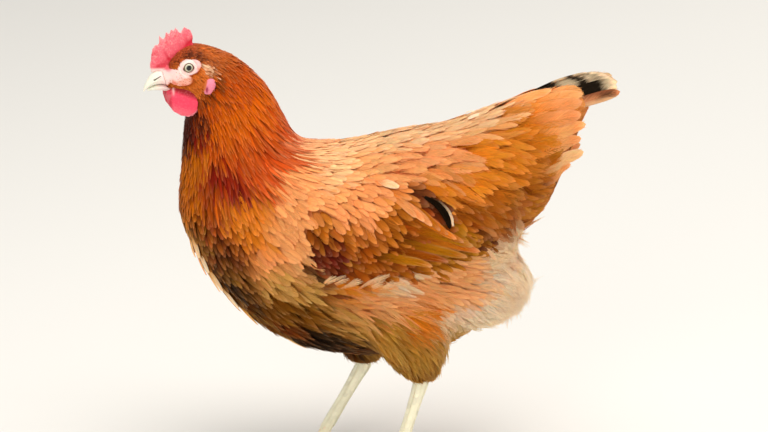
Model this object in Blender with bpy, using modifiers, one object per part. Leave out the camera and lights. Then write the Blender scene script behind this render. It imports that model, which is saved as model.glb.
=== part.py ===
"""A standing brown hen, life size, as a still museum model in about forty solids.

The hen faces -Y with +Z up and her left side at +X, in metres.
Her outline is that of the plumage, out to the feather tips.
Body, comb, bill and tail are lofts: rings strung along pairs of outline points, back edge and belly edge.
"""

import math

import bmesh
import bpy
import numpy as np
from mathutils import Matrix, Vector
from mathutils.bvhtree import BVHTree

MM = 0.001
GAP = 0.3 * MM  # clearance between neighbouring solids

# Driving dimensions
HEAD_TURN = math.radians(9)  # the head looks a little to the hen's left
HEAD_PIVOT_Y = -165 * MM  # the neck's upright axis, which the head turns about
TURN_FROM_Z = 245 * MM  # the neck starts to turn at this height
TURN_TO_Z = 318 * MM  # and has turned all the way at this one
EYE = Vector((0, -191, 373.7)) * MM  # midpoint between the eyes, before the turn
EYE_RADIUS = 7.0 * MM
EYE_APART = 10.4 * MM  # centre of each eye from the middle plane
TOE_RADIUS = 4.3 * MM
WING_BULGE = 7.0 * MM  # how far the folded wing stands out from the plumage round it

# Outline of the plumage in millimetres, as sections from the back edge to the belly edge:
# back y, back z, belly y, belly z, half width, level of the widest line (0 belly, 1 back)
HEAD_STATIONS = (
    (-213, 368.7, -208, 353.2, 7.0, 0.50),
    (-207.3, 375.2, -203.5, 350.7, 10.5, 0.50),
    (-202, 382.2, -200, 347.7, 13.4, 0.52),
    (-192, 389.6, -195.0, 344.5, 15.8, 0.58),
    (-180, 391.4, -191.5, 338.5, 17.2, 0.56),
    (-164, 387.0, -190.7, 327.5, 20.0, 0.52),
)
NECK_STATIONS = (
    (-164, 387.0, -190.7, 327.5, 20.0, 0.52),
    (-149, 379.5, -192, 315, 23.0, 0.48),
    (-132, 366, -193.3, 303, 26.0, 0.48),
    (-120, 353, -194.3, 291, 29.5, 0.48),
    (-110, 336, -195.2, 278, 34.0, 0.50),
    (-102, 319, -196.8, 264, 39.5, 0.52),
    (-94, 304, -198, 250, 46.0, 0.54),
)
BREAST_STATIONS = (
    (-94, 304, -198, 250, 46.0, 0.54),
    (-83, 299, -197, 232, 54.0, 0.55),
    (-69, 298, -189, 211, 61.5, 0.55),
    (-53, 299, -176, 184, 67.5, 0.55),
    (-37, 301, -156, 158, 71.0, 0.55),
)
TRUNK_STATIONS = (
    (-37, 301, -156, 158, 71.0, 0.55),
    (-19, 305, -129, 134, 74.0, 0.55),
    (0, 309, -95, 114, 75.5, 0.55),
    (22, 312, -52, 104, 75.5, 0.54),
    (43, 316, -8, 103, 74.0, 0.53),
)
RUMP_STATIONS = (
    (43, 316, -8, 103, 74.0, 0.53),
    (63, 322, 36, 107, 71.0, 0.50),
    (79, 328, 64, 123, 65.0, 0.46),
    (91, 333, 82, 147, 57.0, 0.46),
    (100, 336, 93, 175, 49.5, 0.48),
    (107, 338.5, 101, 198, 44.0, 0.50),
    (114, 341, 110, 215, 39.0, 0.52),
)
TAIL_BASE_STATIONS = (
    (114, 341, 110, 215, 39.0, 0.52),
    (124, 343, 122, 227, 34.0, 0.54),
    (134, 346, 132, 239, 29.0, 0.56),
    (143, 349, 140, 257, 25.0, 0.58),
    (151, 350.5, 149, 282, 21.0, 0.58),
    (158, 350.5, 157, 302, 17.0, 0.56),
    (164, 349, 163, 317, 13.0, 0.54),
    (169, 345, 168, 328, 8.0, 0.50),
)

# Parts of the head in millimetres forward of and above the eyes, as sections from upper to lower edge:
# upper forward, upper up, lower forward, lower up, half width, level of the widest line
BILL_UPPER = (
    (20.0, -4.2, 14.5, -18.8, 7.6, 0.34),
    (26.5, -4.6, 21.5, -16.9, 6.7, 0.34),
    (31.0, -7.6, 27.3, -17.1, 5.6, 0.38),
    (34.6, -12.4, 32.0, -18.9, 4.1, 0.42),
    (37.2, -17.6, 35.6, -20.8, 2.5, 0.45),
    (38.7, -22.6, 37.9, -23.4, 0.8, 0.50),
)
BILL_LOWER = (
    (14.5, -18.9, 15.5, -23.8, 6.0, 0.60),
    (21.0, -17.2, 21.0, -22.8, 5.2, 0.60),
    (27.0, -17.6, 27.0, -22.2, 4.2, 0.60),
    (31.5, -19.2, 31.5, -22.2, 3.0, 0.60),
    (34.8, -21.0, 34.6, -22.6, 1.2, 0.60),
)
COMB = (
    (28.5, -10.0, 25.0, -9.5, 2.0, 0.5),
    (30.9, -6.4, 19.0, -6.5, 2.6, 0.3),
    (32.5, -0.2, 17.0, -3.5, 2.7, 0.2),
    (31.8, 7.0, 15.0, -1.0, 2.7, 0.2),
    (29.9, 14.1, 13.0, 1.0, 2.6, 0.2),
    (27.8, 19.8, 11.6, 3.0, 2.6, 0.2),
    (25.3, 16.0, 10.6, 4.4, 2.6, 0.2),
    (23.2, 27.3, 9.6, 5.6, 2.6, 0.2),
    (20.4, 22.5, 8.4, 6.8, 2.6, 0.2),
    (17.1, 30.8, 7.2, 7.9, 2.6, 0.2),
    (15.0, 27.2, 6.0, 8.8, 2.6, 0.2),
    (13.0, 34.2, 4.8, 9.6, 2.6, 0.2),
    (10.9, 30.2, 3.6, 10.4, 2.6, 0.2),
    (8.8, 34.0, 2.2, 11.2, 2.6, 0.2),
    (4.2, 28.4, 0.6, 12.0, 2.6, 0.2),
    (0.7, 34.4, -1.0, 12.6, 2.6, 0.2),
    (-2.6, 32.6, -2.4, 13.0, 2.6, 0.2),
    (-5.3, 29.5, -3.6, 13.4, 2.5, 0.2),
    (-6.8, 25.0, -4.6, 13.6, 2.3, 0.2),
    (-6.0, 19.2, -5.2, 13.8, 1.8, 0.3),
)
WATTLE = (
    (19.2, -21.5, 19.5, -28.0, 1.4, 0.5),
    (16.0, -20.0, 17.0, -35.0, 2.4, 0.4),
    (11.0, -20.0, 13.0, -40.5, 2.9, 0.4),
    (5.0, -20.5, 7.0, -44.0, 3.1, 0.4),
    (0.0, -21.5, 0.0, -45.6, 3.0, 0.4),
    (-5.0, -23.5, -5.6, -40.8, 2.6, 0.4),
    (-8.6, -27.0, -9.2, -33.0, 1.4, 0.5),
)
WATTLE_APART = (8.0, 16.0)  # front and rear edge of each wattle from the middle plane
LOBE_FORWARD, LOBE_UP = -17.5, -17.0  # middle of the ear lobes
LOBE_SIZE = Vector((3.0, 4.8, 7.2))  # half of it across, along and up

# The folded wing, as upright sections from shoulder to tip: y, lower z, upper z
WING_STATIONS = (
    (-97, 226, 244),
    (-88, 206, 264),
    (-68, 197.5, 276),
    (-40, 195.5, 281),
    (-10, 197.5, 278),
    (18, 203, 266),
    (42, 209.5, 249),
    (59, 215.5, 236),
    (69, 221, 228),
)

# Half of the tail fan, from the top quill down: root y, z, outer edge y, z, distance from the middle plane
TAIL_STATIONS = (
    (121, 333, 130.0, 345.0, 1.8),
    (123, 332, 143.1, 355.4, 1.9),
    (125, 331, 156.5, 359.4, 2.0),
    (127, 330, 169.9, 362.3, 2.1),
    (129, 328, 179.5, 362.6, 2.4),
    (131, 326, 186.0, 360.6, 3.0),
    (132, 324, 190.4, 356.4, 4.0),
    (133, 323, 188.4, 353.4, 5.2),
    (134, 322, 195.0, 350.2, 6.6),
    (135, 321, 193.4, 347.0, 7.8),
    (136, 320, 199.0, 344.4, 9.0),
    (138, 317, 193.5, 340.0, 11.0),
    (139, 315, 191.0, 337.4, 12.4),
    (141, 311, 185.5, 333.4, 14.4),
)

# Legs in millimetres: middle of the hip, hock and ankle, and the way the foot points, positive to her left
LEGS = {
    "left": (Vector((44, -10, 182)), Vector((39, 16, 84)), Vector((39, -5, 13)), 0.0),
    "right": (Vector((-44, -28, 178)), Vector((-39, -31, 78)), Vector((-39, -68, 13)), 0.06),
}
THIGH_STATIONS = (  # share of the way from hip to hock, half length fore and aft, half width
    (0.0, 34, 22),
    (0.25, 42, 29),
    (0.5, 39, 28),
    (0.7, 31, 23.5),
    (0.87, 20.5, 17),
    (1.0, 11.5, 11),
)
THIGH_ENDS_ABOVE_HOCK = Vector((0, 0, 5.5))
SHANK_TOP_Z = 21 * MM  # the foot's solid ends here and the shank's begins
TOES = (  # name, angle towards the outside in degrees, length in millimetres, pads
    ("inner", -34, 37, 2),
    ("middle", 0, 49, 3),
    ("outer", 33, 39, 3),
    ("hind", 164, 25, 1),
)
TOE_SINK = 0.6  # height of a toe's middle line above the ground, as a share of its radius
TOE_ARCH = 1.2 * MM  # how far a toe lifts off the ground between its root and its tip
SOLE_Z = 3.9 * MM  # middle of the pad that the toes spring from
CLAW_LENGTH = 12.5 * MM

BODY_SIDES = 24

# Colours: (red, green, blue), roughness
RUST = ((0.42, 0.13, 0.03), 0.6)
CHESTNUT = ((0.36, 0.12, 0.025), 0.6)
BUFF = ((0.72, 0.33, 0.13), 0.65)
CREAM = ((0.85, 0.55, 0.32), 0.75)
COMB_RED = ((0.75, 0.10, 0.12), 0.45)
HORN = ((0.85, 0.78, 0.62), 0.35)
LEG_YELLOW = ((0.78, 0.70, 0.42), 0.5)
EYE_AMBER = ((0.45, 0.30, 0.12), 0.1)

hen = bpy.data.collections.new("hen")
cutters = bpy.data.collections.new("cutters")


def clear_scene():
    for obj in list(bpy.data.objects):
        bpy.data.objects.remove(obj)
    bpy.context.scene.collection.children.link(hen)
    bpy.context.scene.collection.children.link(cutters)


def material(finish):
    colour, roughness = finish
    name = "finish_%02d%02d%02d" % tuple(round(99 * c) for c in colour)
    if name in bpy.data.materials:
        return bpy.data.materials[name]
    made = bpy.data.materials.new(name)
    made.use_nodes = True
    shader = made.node_tree.nodes["Principled BSDF"]
    shader.inputs["Base Color"].default_value = (*colour, 1)
    shader.inputs["Roughness"].default_value = roughness
    return made


def face_outward(bm):
    bmesh.ops.recalc_face_normals(bm, faces=bm.faces)
    if bm.calc_volume(signed=True) < 0:
        bmesh.ops.reverse_faces(bm, faces=bm.faces)


def add_object(name, bm, finish=None, parent=None):
    """Makes a node of a bmesh. With no finish it is a cutter, which no render shows."""
    face_outward(bm)
    mesh = bpy.data.meshes.new(name)
    bm.to_mesh(mesh)
    bm.free()
    obj = bpy.data.objects.new(name, mesh)
    if finish:
        mesh.materials.append(material(finish))
        mesh.shade_smooth()
        mesh.set_sharp_from_angle(angle=math.radians(50))
        hen.objects.link(obj)
    else:
        obj.hide_render = True
        obj.display_type = "WIRE"
        cutters.objects.link(obj)
    obj.parent = parent
    return obj


def cut_away(obj, cutter):
    modifier = obj.modifiers.new("cut_" + cutter.name, "BOOLEAN")
    modifier.operation = "DIFFERENCE"
    modifier.solver = "EXACT"
    modifier.object = cutter


def grown_copy(obj, by=GAP):
    """A cutter a little larger than obj, so that what it cuts keeps clear of obj."""
    name = obj.name + "_clearance"
    if name in cutters.objects:
        return cutters.objects[name]
    copy = bpy.data.objects.new(name, obj.data.copy())
    copy.parent = obj.parent
    copy.hide_render = True
    copy.display_type = "WIRE"
    cutters.objects.link(copy)
    for modifier in obj.modifiers:
        if modifier.type == "SUBSURF":
            same = copy.modifiers.new(modifier.name, "SUBSURF")
            same.levels = same.render_levels = modifier.levels
    swell = copy.modifiers.new("swell", "DISPLACE")
    swell.mid_level = 0
    swell.strength = by
    return copy


def smoothstep(low, high, value):
    t = min(1.0, max(0.0, (value - low) / (high - low)))
    return t * t * (3 - 2 * t)


def through(stations, steps):
    """Rows on a smooth curve through the stations, steps to each span (Catmull-Rom)."""
    rows = np.array(stations, float)
    ends = [2 * rows[0] - rows[1], *rows, 2 * rows[-1] - rows[-2]]
    made = []
    for a, b, c, d in zip(ends, ends[1:], ends[2:], ends[3:]):
        for t in np.arange(steps) / steps:
            made.append(
                b
                + 0.5 * t * (c - a)
                + t**2 * (a - 2.5 * b + 2 * c - 0.5 * d)
                + t**3 * (1.5 * (b - c) + 0.5 * (d - a))
            )
    return [*made, rows[-1]]


def ring(back, belly, half_width, level, sides, across=Vector((1, 0, 0))):
    """Points round one section: an ellipse whose upper and lower halves meet at the widest line."""
    middle = belly.lerp(back, level)
    points = []
    for i in range(sides):
        angle = 2 * math.pi * i / sides
        side, rise = math.cos(angle), math.sin(angle)
        reach = (back - middle) * rise if rise > 0 else (belly - middle) * -rise
        points.append(middle + across * (half_width * side) + reach)
    return points


def loft(rings):
    """A closed bmesh through rings of equal count, with a flat cap on each end."""
    bm = bmesh.new()
    rows = [[bm.verts.new(p) for p in points] for points in rings]
    for row, following in zip(rows, rows[1:]):
        for i in range(len(row)):
            j = (i + 1) % len(row)
            bm.faces.new((row[i], row[j], following[j], following[i]))
    bm.faces.new(rows[0])
    bm.faces.new(rows[-1])
    return bm


def turned(point, share=1.0):
    """A point of the head or neck, turned about the neck's upright axis."""
    pivot = Vector((0, HEAD_PIVOT_Y, 0))
    return pivot + Matrix.Rotation(HEAD_TURN * share, 3, "Z") @ (point - pivot)


def plumage_rings(stations, steps, turn=None, open_start=False, open_end=False):
    """Rings of a stretch of the body. An open end is drawn back by half the gap from the next stretch."""
    rows = through([[MM * v for v in station[:5]] + [station[5]] for station in stations], steps)
    rings = []
    for row in rows:
        back, belly = Vector((0, row[0], row[1])), Vector((0, row[2], row[3]))
        height = (row[1] + row[3]) / 2
        share = smoothstep(TURN_FROM_Z, TURN_TO_Z, height) if turn is None else turn
        if row[0] > 0:
            share = 0
        across = Matrix.Rotation(HEAD_TURN * share, 3, "Z") @ Vector((1, 0, 0))
        rings.append(ring(turned(back, share), turned(belly, share), row[4], row[5], BODY_SIDES, across))
    if open_start:
        draw_back(rings, 0, 1)
    if open_end:
        draw_back(rings, -1, -2)
    return rings


def draw_back(rings, end, inner):
    """Moves the end ring half a gap inwards, square to its own plane."""
    here, inside = rings[end], rings[inner]
    middle = sum(here, Vector()) / len(here)
    normal = (here[0] - middle).cross(here[len(here) // 4] - middle).normalized()
    if normal.dot(sum(inside, Vector()) / len(inside) - middle) < 0:
        normal.negate()
    rings[end] = [p + normal * (GAP / 2) for p in here]


def make_body():
    """The feathered body in six stretches, each its own solid, with the whole as a cutter and as a tree."""
    stretches = (  # name, stations, steps in each span, finish
        ("head", HEAD_STATIONS, 2, RUST),
        ("neck", NECK_STATIONS, 1, CHESTNUT),
        ("breast", BREAST_STATIONS, 2, RUST),
        ("trunk", TRUNK_STATIONS, 2, BUFF),
        ("rump", RUMP_STATIONS, 1, BUFF),
        ("tail_base", TAIL_BASE_STATIONS, 1, BUFF),
    )
    made = {}
    whole = []
    for name, stations, steps, finish in stretches:
        share = 1.0 if name == "head" else None
        rings = plumage_rings(stations, steps, share, name != "head", name != "tail_base")
        made[name] = add_object(name, loft(rings), finish)
        whole += plumage_rings(stations, steps, share)[: None if name == "tail_base" else -1]
    bm = loft(whole)
    face_outward(bm)
    tree = BVHTree.FromBMesh(bm)
    return made, add_object("whole_body", bm), tree


def head_loft(name, stations, steps, sides, finish, frame):
    """A loft in the head's own frame."""
    rings = []
    for row in through(stations, steps):
        upper, lower = Vector((0, -row[0], row[1])) * MM, Vector((0, -row[2], row[3])) * MM
        rings.append(ring(upper, lower, row[4] * MM, row[5], sides))
    return add_object(name, loft(rings), finish, frame)


def make_bill(frame):
    bills = [
        head_loft("bill_upper", BILL_UPPER, 2, 12, HORN, frame),
        head_loft("bill_lower", BILL_LOWER, 1, 12, HORN, frame),
    ]
    cut_away(bills[1], grown_copy(bills[0]))
    return bills


def ball(name, centre, size, turn, finish, frame=None, segments=16):
    """A flattened ball of given half sizes."""
    bm = bmesh.new()
    bmesh.ops.create_uvsphere(bm, u_segments=segments, v_segments=segments * 5 // 8, radius=1)
    placed = Matrix.Translation(centre) @ turn.to_4x4() @ Matrix.Diagonal((*size, 1))
    bmesh.ops.transform(bm, matrix=placed, verts=bm.verts)
    return add_object(name, bm, finish, frame)


def make_eyes(head, frame):
    pole_outward = Matrix.Rotation(math.pi / 2, 3, "Y")
    size = Vector((1, 1, 1)) * EYE_RADIUS
    for side, sign in (("left", 1), ("right", -1)):
        centre = Vector((sign * EYE_APART, 0, 0))
        eye = ball("eye_" + side, centre, size, pole_outward, EYE_AMBER, frame, segments=14)
        cut_away(head, grown_copy(eye))


def make_wattles(frame, neighbours):
    for side, sign in (("left", 1), ("right", -1)):
        wattle = head_loft("wattle_" + side, WATTLE, 1, 12, COMB_RED, frame)
        front, rear = WATTLE_APART
        length = WATTLE[0][0] - WATTLE[-1][0]
        for vert in wattle.data.vertices:
            share = (WATTLE[0][0] + vert.co.y / MM) / length
            vert.co.x += sign * (front + (rear - front) * share) * MM
        for neighbour in neighbours:
            cut_away(wattle, neighbour)


def make_ear_lobes(tree, neighbour):
    """The ear lobes lie on the sides of the head, so each is set out to where the head's side is."""
    place = turned(EYE + Vector((0, -LOBE_FORWARD, LOBE_UP)) * MM)
    for side, sign in (("left", 1), ("right", -1)):
        outward = Matrix.Rotation(HEAD_TURN, 3, "Z") @ Vector((sign, 0, 0))
        hit = tree.ray_cast(place + outward * 0.1, -outward)[0]
        turn = Matrix.Rotation(HEAD_TURN, 3, "Z") @ Matrix.Rotation(math.radians(-20), 3, "X")
        lobe = ball("ear_lobe_" + side, hit, LOBE_SIZE * MM, turn, COMB_RED, segments=14)
        cut_away(lobe, neighbour)


def body_side(tree, y, z, sign):
    """How far out the plumage reaches at this height and place along the body."""
    hit = tree.ray_cast(Vector((sign * 0.3, y, z)), Vector((-sign, 0, 0)))
    return abs(hit[0].x) if hit[0] else 0.0


def make_wing(side, sign, tree, body):
    """The folded wing: upright lens sections that follow the body's side from the shoulder to the tip."""
    rings = []
    for y, low, high in through(WING_STATIONS, 2):
        middle, half = (low + high) / 2, (high - low) / 2
        thick = WING_BULGE * min(1.0, half / 24) ** 0.5
        points = []
        for i in range(16):
            angle = 2 * math.pi * i / 16
            z = (middle + half * math.sin(angle)) * MM
            out = body_side(tree, y * MM, z, sign) + thick * math.cos(angle)
            points.append(Vector((sign * out, y * MM, z)))
        rings.append(points)
    wing = add_object("wing_" + side, loft(rings), BUFF)
    cut_away(wing, body)
    return wing


def make_fluff(body):
    """The soft round mass of down behind the thighs and under the tail."""
    turn = Matrix.Rotation(math.radians(20), 3, "X")
    fluff = ball("fluff", Vector((0, 64, 166)) * MM, Vector((60, 51, 38)) * MM, turn, CREAM, segments=20)
    cut_away(fluff, body)
    return fluff


def make_thigh(side, hip, hock, body):
    """The feathered drumstick, from inside the flank down to the hock."""
    rings = []
    for share, fore_aft, half_width in through(THIGH_STATIONS, 2):
        centre = hip.lerp(hock, share)
        reach = Vector((0, fore_aft * MM, 0))
        rings.append(ring(centre - reach, centre + reach, half_width * MM, 0.5, 24))
    thigh = add_object("thigh_" + side, loft(rings), BUFF)
    cut_away(thigh, body)
    return thigh


def skin_tree(points, links, radii):
    """A branching tube along links between points, by the Skin modifier, as a bmesh."""
    mesh = bpy.data.meshes.new("branch")
    mesh.from_pydata(points, links, [])
    obj = bpy.data.objects.new("branch", mesh)
    bpy.context.scene.collection.objects.link(obj)
    skin = obj.modifiers.new("skin", "SKIN")
    skin.branch_smoothing = 0.3
    for data, radius in zip(mesh.skin_vertices[0].data, radii):
        data.radius = radius
        data.use_root = False
    mesh.skin_vertices[0].data[0].use_root = True
    round_off = obj.modifiers.new("round", "SUBSURF")
    round_off.levels = round_off.render_levels = 1
    facet = obj.modifiers.new("facet", "DECIMATE")
    facet.ratio = 0.6
    bpy.context.view_layer.update()
    graph = bpy.context.evaluated_depsgraph_get()
    bm = bmesh.new()
    bm.from_mesh(obj.evaluated_get(graph).to_mesh())
    bpy.data.objects.remove(obj)
    return bm


def halved(bm, point, normal):
    """Keeps the part of a closed bmesh behind the plane, and closes the cut."""
    every = bm.verts[:] + bm.edges[:] + bm.faces[:]
    cut = bmesh.ops.bisect_plane(bm, geom=every, plane_co=point, plane_no=normal, clear_outer=True)
    rim = [e for e in cut["geom_cut"] if isinstance(e, bmesh.types.BMEdge)]
    bmesh.ops.holes_fill(bm, edges=rim)
    return bm


def toe_points(root, heading, length, pads):
    """Points and radii along a toe: it swells over each pad and dips between, flat on the ground."""
    forward = Vector((math.sin(heading), -math.cos(heading), 0))
    points, radii = [], []
    steps = pads * 2
    for i in range(1, steps + 1):
        share = i / steps
        arch = TOE_ARCH * math.sin(math.pi * share) * (1 - share)
        swell = 1.06 if i % 2 else 0.90
        radius = TOE_RADIUS * (1.08 - 0.32 * share) * swell
        centre = root + forward * (length * share)
        centre.z = radius * TOE_SINK + arch
        points.append(centre)
        radii.append((radius, radius))
    return points, radii


def make_foot(side, sign, hock, ankle, heading):
    """Shank and foot: one branching skin, flattened where it stands, then parted above the toes."""
    root = Vector((ankle.x, ankle.y, SOLE_Z))
    down = (ankle - hock).normalized()
    points = [hock - down * 9 * MM, hock, hock + down * 12 * MM, hock.lerp(ankle, 0.5), ankle, root]
    radii = [(6.6, 6.6), (6.9, 7.4), (5.1, 5.9), (4.4, 5.1), (5.6, 5.8), (6.4, 6.0)]
    radii = [(a * MM, b * MM) for a, b in radii]
    links = [(0, 1), (1, 2), (2, 3), (3, 4), (4, 5)]
    tips = {}
    for name, outward, length, pads in TOES:
        more, sizes = toe_points(root, heading + sign * math.radians(outward), length * MM, pads)
        start = len(points)
        points += more
        radii += sizes
        links += [(5, start)] + [(i, i + 1) for i in range(start, len(points) - 1)]
        tips[name] = (more[-1], (more[-1] - root).normalized())
    bm = skin_tree(points, links, radii)
    halved(bm, Vector((0, 0, 0)), Vector((0, 0, -1)))
    shank = bm.copy()
    halved(shank, Vector((0, 0, SHANK_TOP_Z + GAP / 2)), Vector((0, 0, -1)))
    halved(bm, Vector((0, 0, SHANK_TOP_Z - GAP / 2)), Vector((0, 0, 1)))
    foot = add_object("foot_" + side, bm, LEG_YELLOW)
    for name, (tip, forward) in tips.items():
        make_claw("claw_%s_%s" % (name, side), tip, forward, foot)
    return add_object("shank_" + side, shank, LEG_YELLOW)


def make_claw(name, tip, forward, foot):
    """A claw that curves forward and down from the end of its toe."""
    forward = Vector((forward.x, forward.y, 0)).normalized()
    across = forward.cross(Vector((0, 0, 1)))
    rings = []
    count = 5
    for i in range(count + 1):
        share = i / count
        radius = (2.5 * (1 - share) ** 0.8 + 0.25) * MM
        centre = tip + forward * (CLAW_LENGTH * share)
        centre.z = tip.z + 1.1 * MM + 1.0 * MM * math.sin(2.2 * share) - 3.4 * MM * share**2
        upright = Vector((0, 0, 1)) * radius
        rings.append(ring(centre + upright, centre - upright, radius * 0.8, 0.45, 6, across))
    claw = add_object(name, loft(rings), HORN)
    cut_away(claw, grown_copy(foot))


def make_tail(side, sign, tail_base):
    """Half of the folded tail: a thin fan of quills, upright at the top and leaning out lower down."""
    rings = []
    for root_y, root_z, edge_y, edge_z, out in TAIL_STATIONS:
        root = Vector((sign * out * 0.9, root_y, root_z)) * MM
        edge = Vector((sign * out, edge_y, edge_z)) * MM
        rings.append(ring(edge, root, 1.2 * MM, 0.5, 6))
    tail = add_object("tail_" + side, loft(rings), BUFF)
    cut_away(tail, tail_base)


def stand_at_origin():
    """Moves the whole hen so that the middle of her ground plan is at the origin."""
    bpy.context.view_layer.update()
    graph = bpy.context.evaluated_depsgraph_get()
    corners = []
    for obj in hen.objects:
        if obj.type == "MESH":
            made = obj.evaluated_get(graph)
            corners += [made.matrix_world @ Vector(c) for c in made.bound_box]
    low = [min(c[k] for c in corners) for k in range(3)]
    high = [max(c[k] for c in corners) for k in range(3)]
    place = bpy.data.objects.new("hen_place", None)
    hen.objects.link(place)
    for obj in [*hen.objects, *cutters.objects]:
        if obj.parent is None and obj is not place:
            obj.parent = place
    place.location = (-(low[0] + high[0]) / 2, -(low[1] + high[1]) / 2, -low[2])


def main():
    clear_scene()
    body, whole, tree = make_body()
    clearance = grown_copy(whole)

    frame = bpy.data.objects.new("head_frame", None)
    frame.location = turned(EYE)
    frame.rotation_euler = (0, 0, HEAD_TURN)
    hen.objects.link(frame)
    make_eyes(body["head"], frame)
    bills = make_bill(frame)
    for bill in bills:
        cut_away(bill, clearance)
    comb = head_loft("comb", COMB, 1, 8, COMB_RED, frame)
    cut_away(comb, clearance)
    cut_away(comb, grown_copy(bills[0]))
    make_wattles(frame, [clearance, grown_copy(bills[0]), grown_copy(bills[1])])
    make_ear_lobes(tree, clearance)
    fluff = make_fluff(clearance)

    for side, sign in (("left", 1), ("right", -1)):
        hip, hock, ankle, heading = LEGS[side]
        wing = make_wing(side, sign, tree, clearance)
        thigh = make_thigh(side, hip * MM, (hock + THIGH_ENDS_ABOVE_HOCK) * MM, clearance)
        cut_away(thigh, grown_copy(wing))
        cut_away(thigh, grown_copy(fluff))
        shank = make_foot(side, sign, hock * MM, ankle * MM, heading)
        cut_away(shank, grown_copy(thigh))
        make_tail(side, sign, clearance)
    stand_at_origin()


main()
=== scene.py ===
import itertools
import math

import bmesh
import bpy
import numpy as np
from mathutils import Matrix, Vector, noise
from mathutils.bvhtree import BVHTree


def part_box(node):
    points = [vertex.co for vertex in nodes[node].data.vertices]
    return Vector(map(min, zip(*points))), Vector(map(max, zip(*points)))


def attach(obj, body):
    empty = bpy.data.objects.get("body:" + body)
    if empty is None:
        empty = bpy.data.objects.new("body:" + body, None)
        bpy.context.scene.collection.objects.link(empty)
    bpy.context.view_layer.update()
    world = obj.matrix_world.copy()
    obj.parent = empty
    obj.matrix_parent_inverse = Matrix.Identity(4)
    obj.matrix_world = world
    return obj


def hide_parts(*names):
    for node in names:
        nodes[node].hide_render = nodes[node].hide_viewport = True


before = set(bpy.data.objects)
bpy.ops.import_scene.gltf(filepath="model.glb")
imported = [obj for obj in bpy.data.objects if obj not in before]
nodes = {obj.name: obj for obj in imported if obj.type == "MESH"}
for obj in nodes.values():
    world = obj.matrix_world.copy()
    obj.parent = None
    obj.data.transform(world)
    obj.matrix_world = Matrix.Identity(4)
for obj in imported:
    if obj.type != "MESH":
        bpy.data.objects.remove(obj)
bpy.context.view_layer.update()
mm = 0.001
dice = np.random.default_rng(11)

# camera, floor and light

camera = {"azimuth": 86, "elevation": 15, "distance": 3.2, "aim": (0, 0.0032, 0.230), "lens": 166.7}


def linked(name, data):
    obj = bpy.data.objects.new(name, data)
    bpy.context.scene.collection.objects.link(obj)
    return obj


def placeCamera():
    turn, rise = math.radians(camera["azimuth"]), math.radians(camera["elevation"])
    away = Vector((math.sin(turn) * math.cos(rise), -math.cos(turn) * math.cos(rise), math.sin(rise)))
    data = bpy.data.cameras.new("camera")
    data.lens = camera["lens"]
    data.clip_end = 50
    eye = linked("camera", data)
    eye.location = Vector(camera["aim"]) + away * camera["distance"]
    eye.rotation_euler = away.to_track_quat("Z", "Y").to_euler()
    bpy.context.scene.camera = eye


studio = {
    "floor": (0.80, 0.79, 0.76),
    "air": ((1.0, 0.98, 0.95), 0.58),
    "lamps": (  # name, place, size, power, colour
        ("overhead", (0.5, 0.3, 2.6), 2.2, 50, (1.0, 0.97, 0.92)),
        ("front", (3.0, -1.4, 1.4), 1.8, 31, (1.0, 0.97, 0.92)),
        ("behind", (-2.4, 1.8, 1.8), 1.8, 22, (1.0, 0.96, 0.90)),
        ("rear", (2.2, 2.6, 0.6), 1.4, 10, (1.0, 0.97, 0.92)),
    ),
}


def lightStudio():
    world = bpy.data.worlds.new("air")
    world.use_nodes = True
    air = world.node_tree.nodes["Background"]
    air.inputs["Color"].default_value = (*studio["air"][0], 1)
    air.inputs["Strength"].default_value = studio["air"][1]
    bpy.context.scene.world = world
    bpy.context.scene.view_settings.view_transform = "Standard"
    for name, place, size, power, colour in studio["lamps"]:
        data = bpy.data.lights.new(name, "AREA")
        data.shape = "DISK"
        data.size = size
        data.energy = power
        data.color = colour
        lamp = linked(name, data)
        lamp.location = place
        aim = Vector((0, 0, 0.2)) - Vector(place)
        lamp.rotation_euler = aim.to_track_quat("-Z", "Y").to_euler()
    bm = bmesh.new()
    bmesh.ops.create_grid(bm, x_segments=1, y_segments=1, size=6)
    floor = meshObject("floor", bm)
    floorPaint, tree, shader = newFinish("floorPaint")
    feed(tree, shader, {"Base Color": (*studio["floor"], 1), "Roughness": 0.9})
    floor.data.materials.append(floorPaint)


def meshObject(name, bm):
    mesh = bpy.data.meshes.new(name)
    bm.to_mesh(mesh)
    bm.free()
    return linked(name, mesh)


# adds a piece's finish and body
def dress(piece, finish):
    piece.data.materials.append(finish)
    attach(piece, "root")


def middleOf(node):
    return sum(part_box(node), Vector()) / 2


# the head's own directions, from the two eyes
eyeLeft, eyeRight = middleOf("eye_left"), middleOf("eye_right")
headMiddle = (eyeLeft + eyeRight) / 2
headLeft = (eyeLeft - eyeRight).normalized()
headFront = Vector((headLeft.y, -headLeft.x, 0)).normalized()


# left, front and up from between the eyes, in millimetres
def inHead(points):
    away = (np.asarray(points) - np.array(headMiddle)) / mm
    return np.stack([away @ np.array(headLeft), away @ np.array(headFront), away[..., 2]], -1)


# colours

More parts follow.
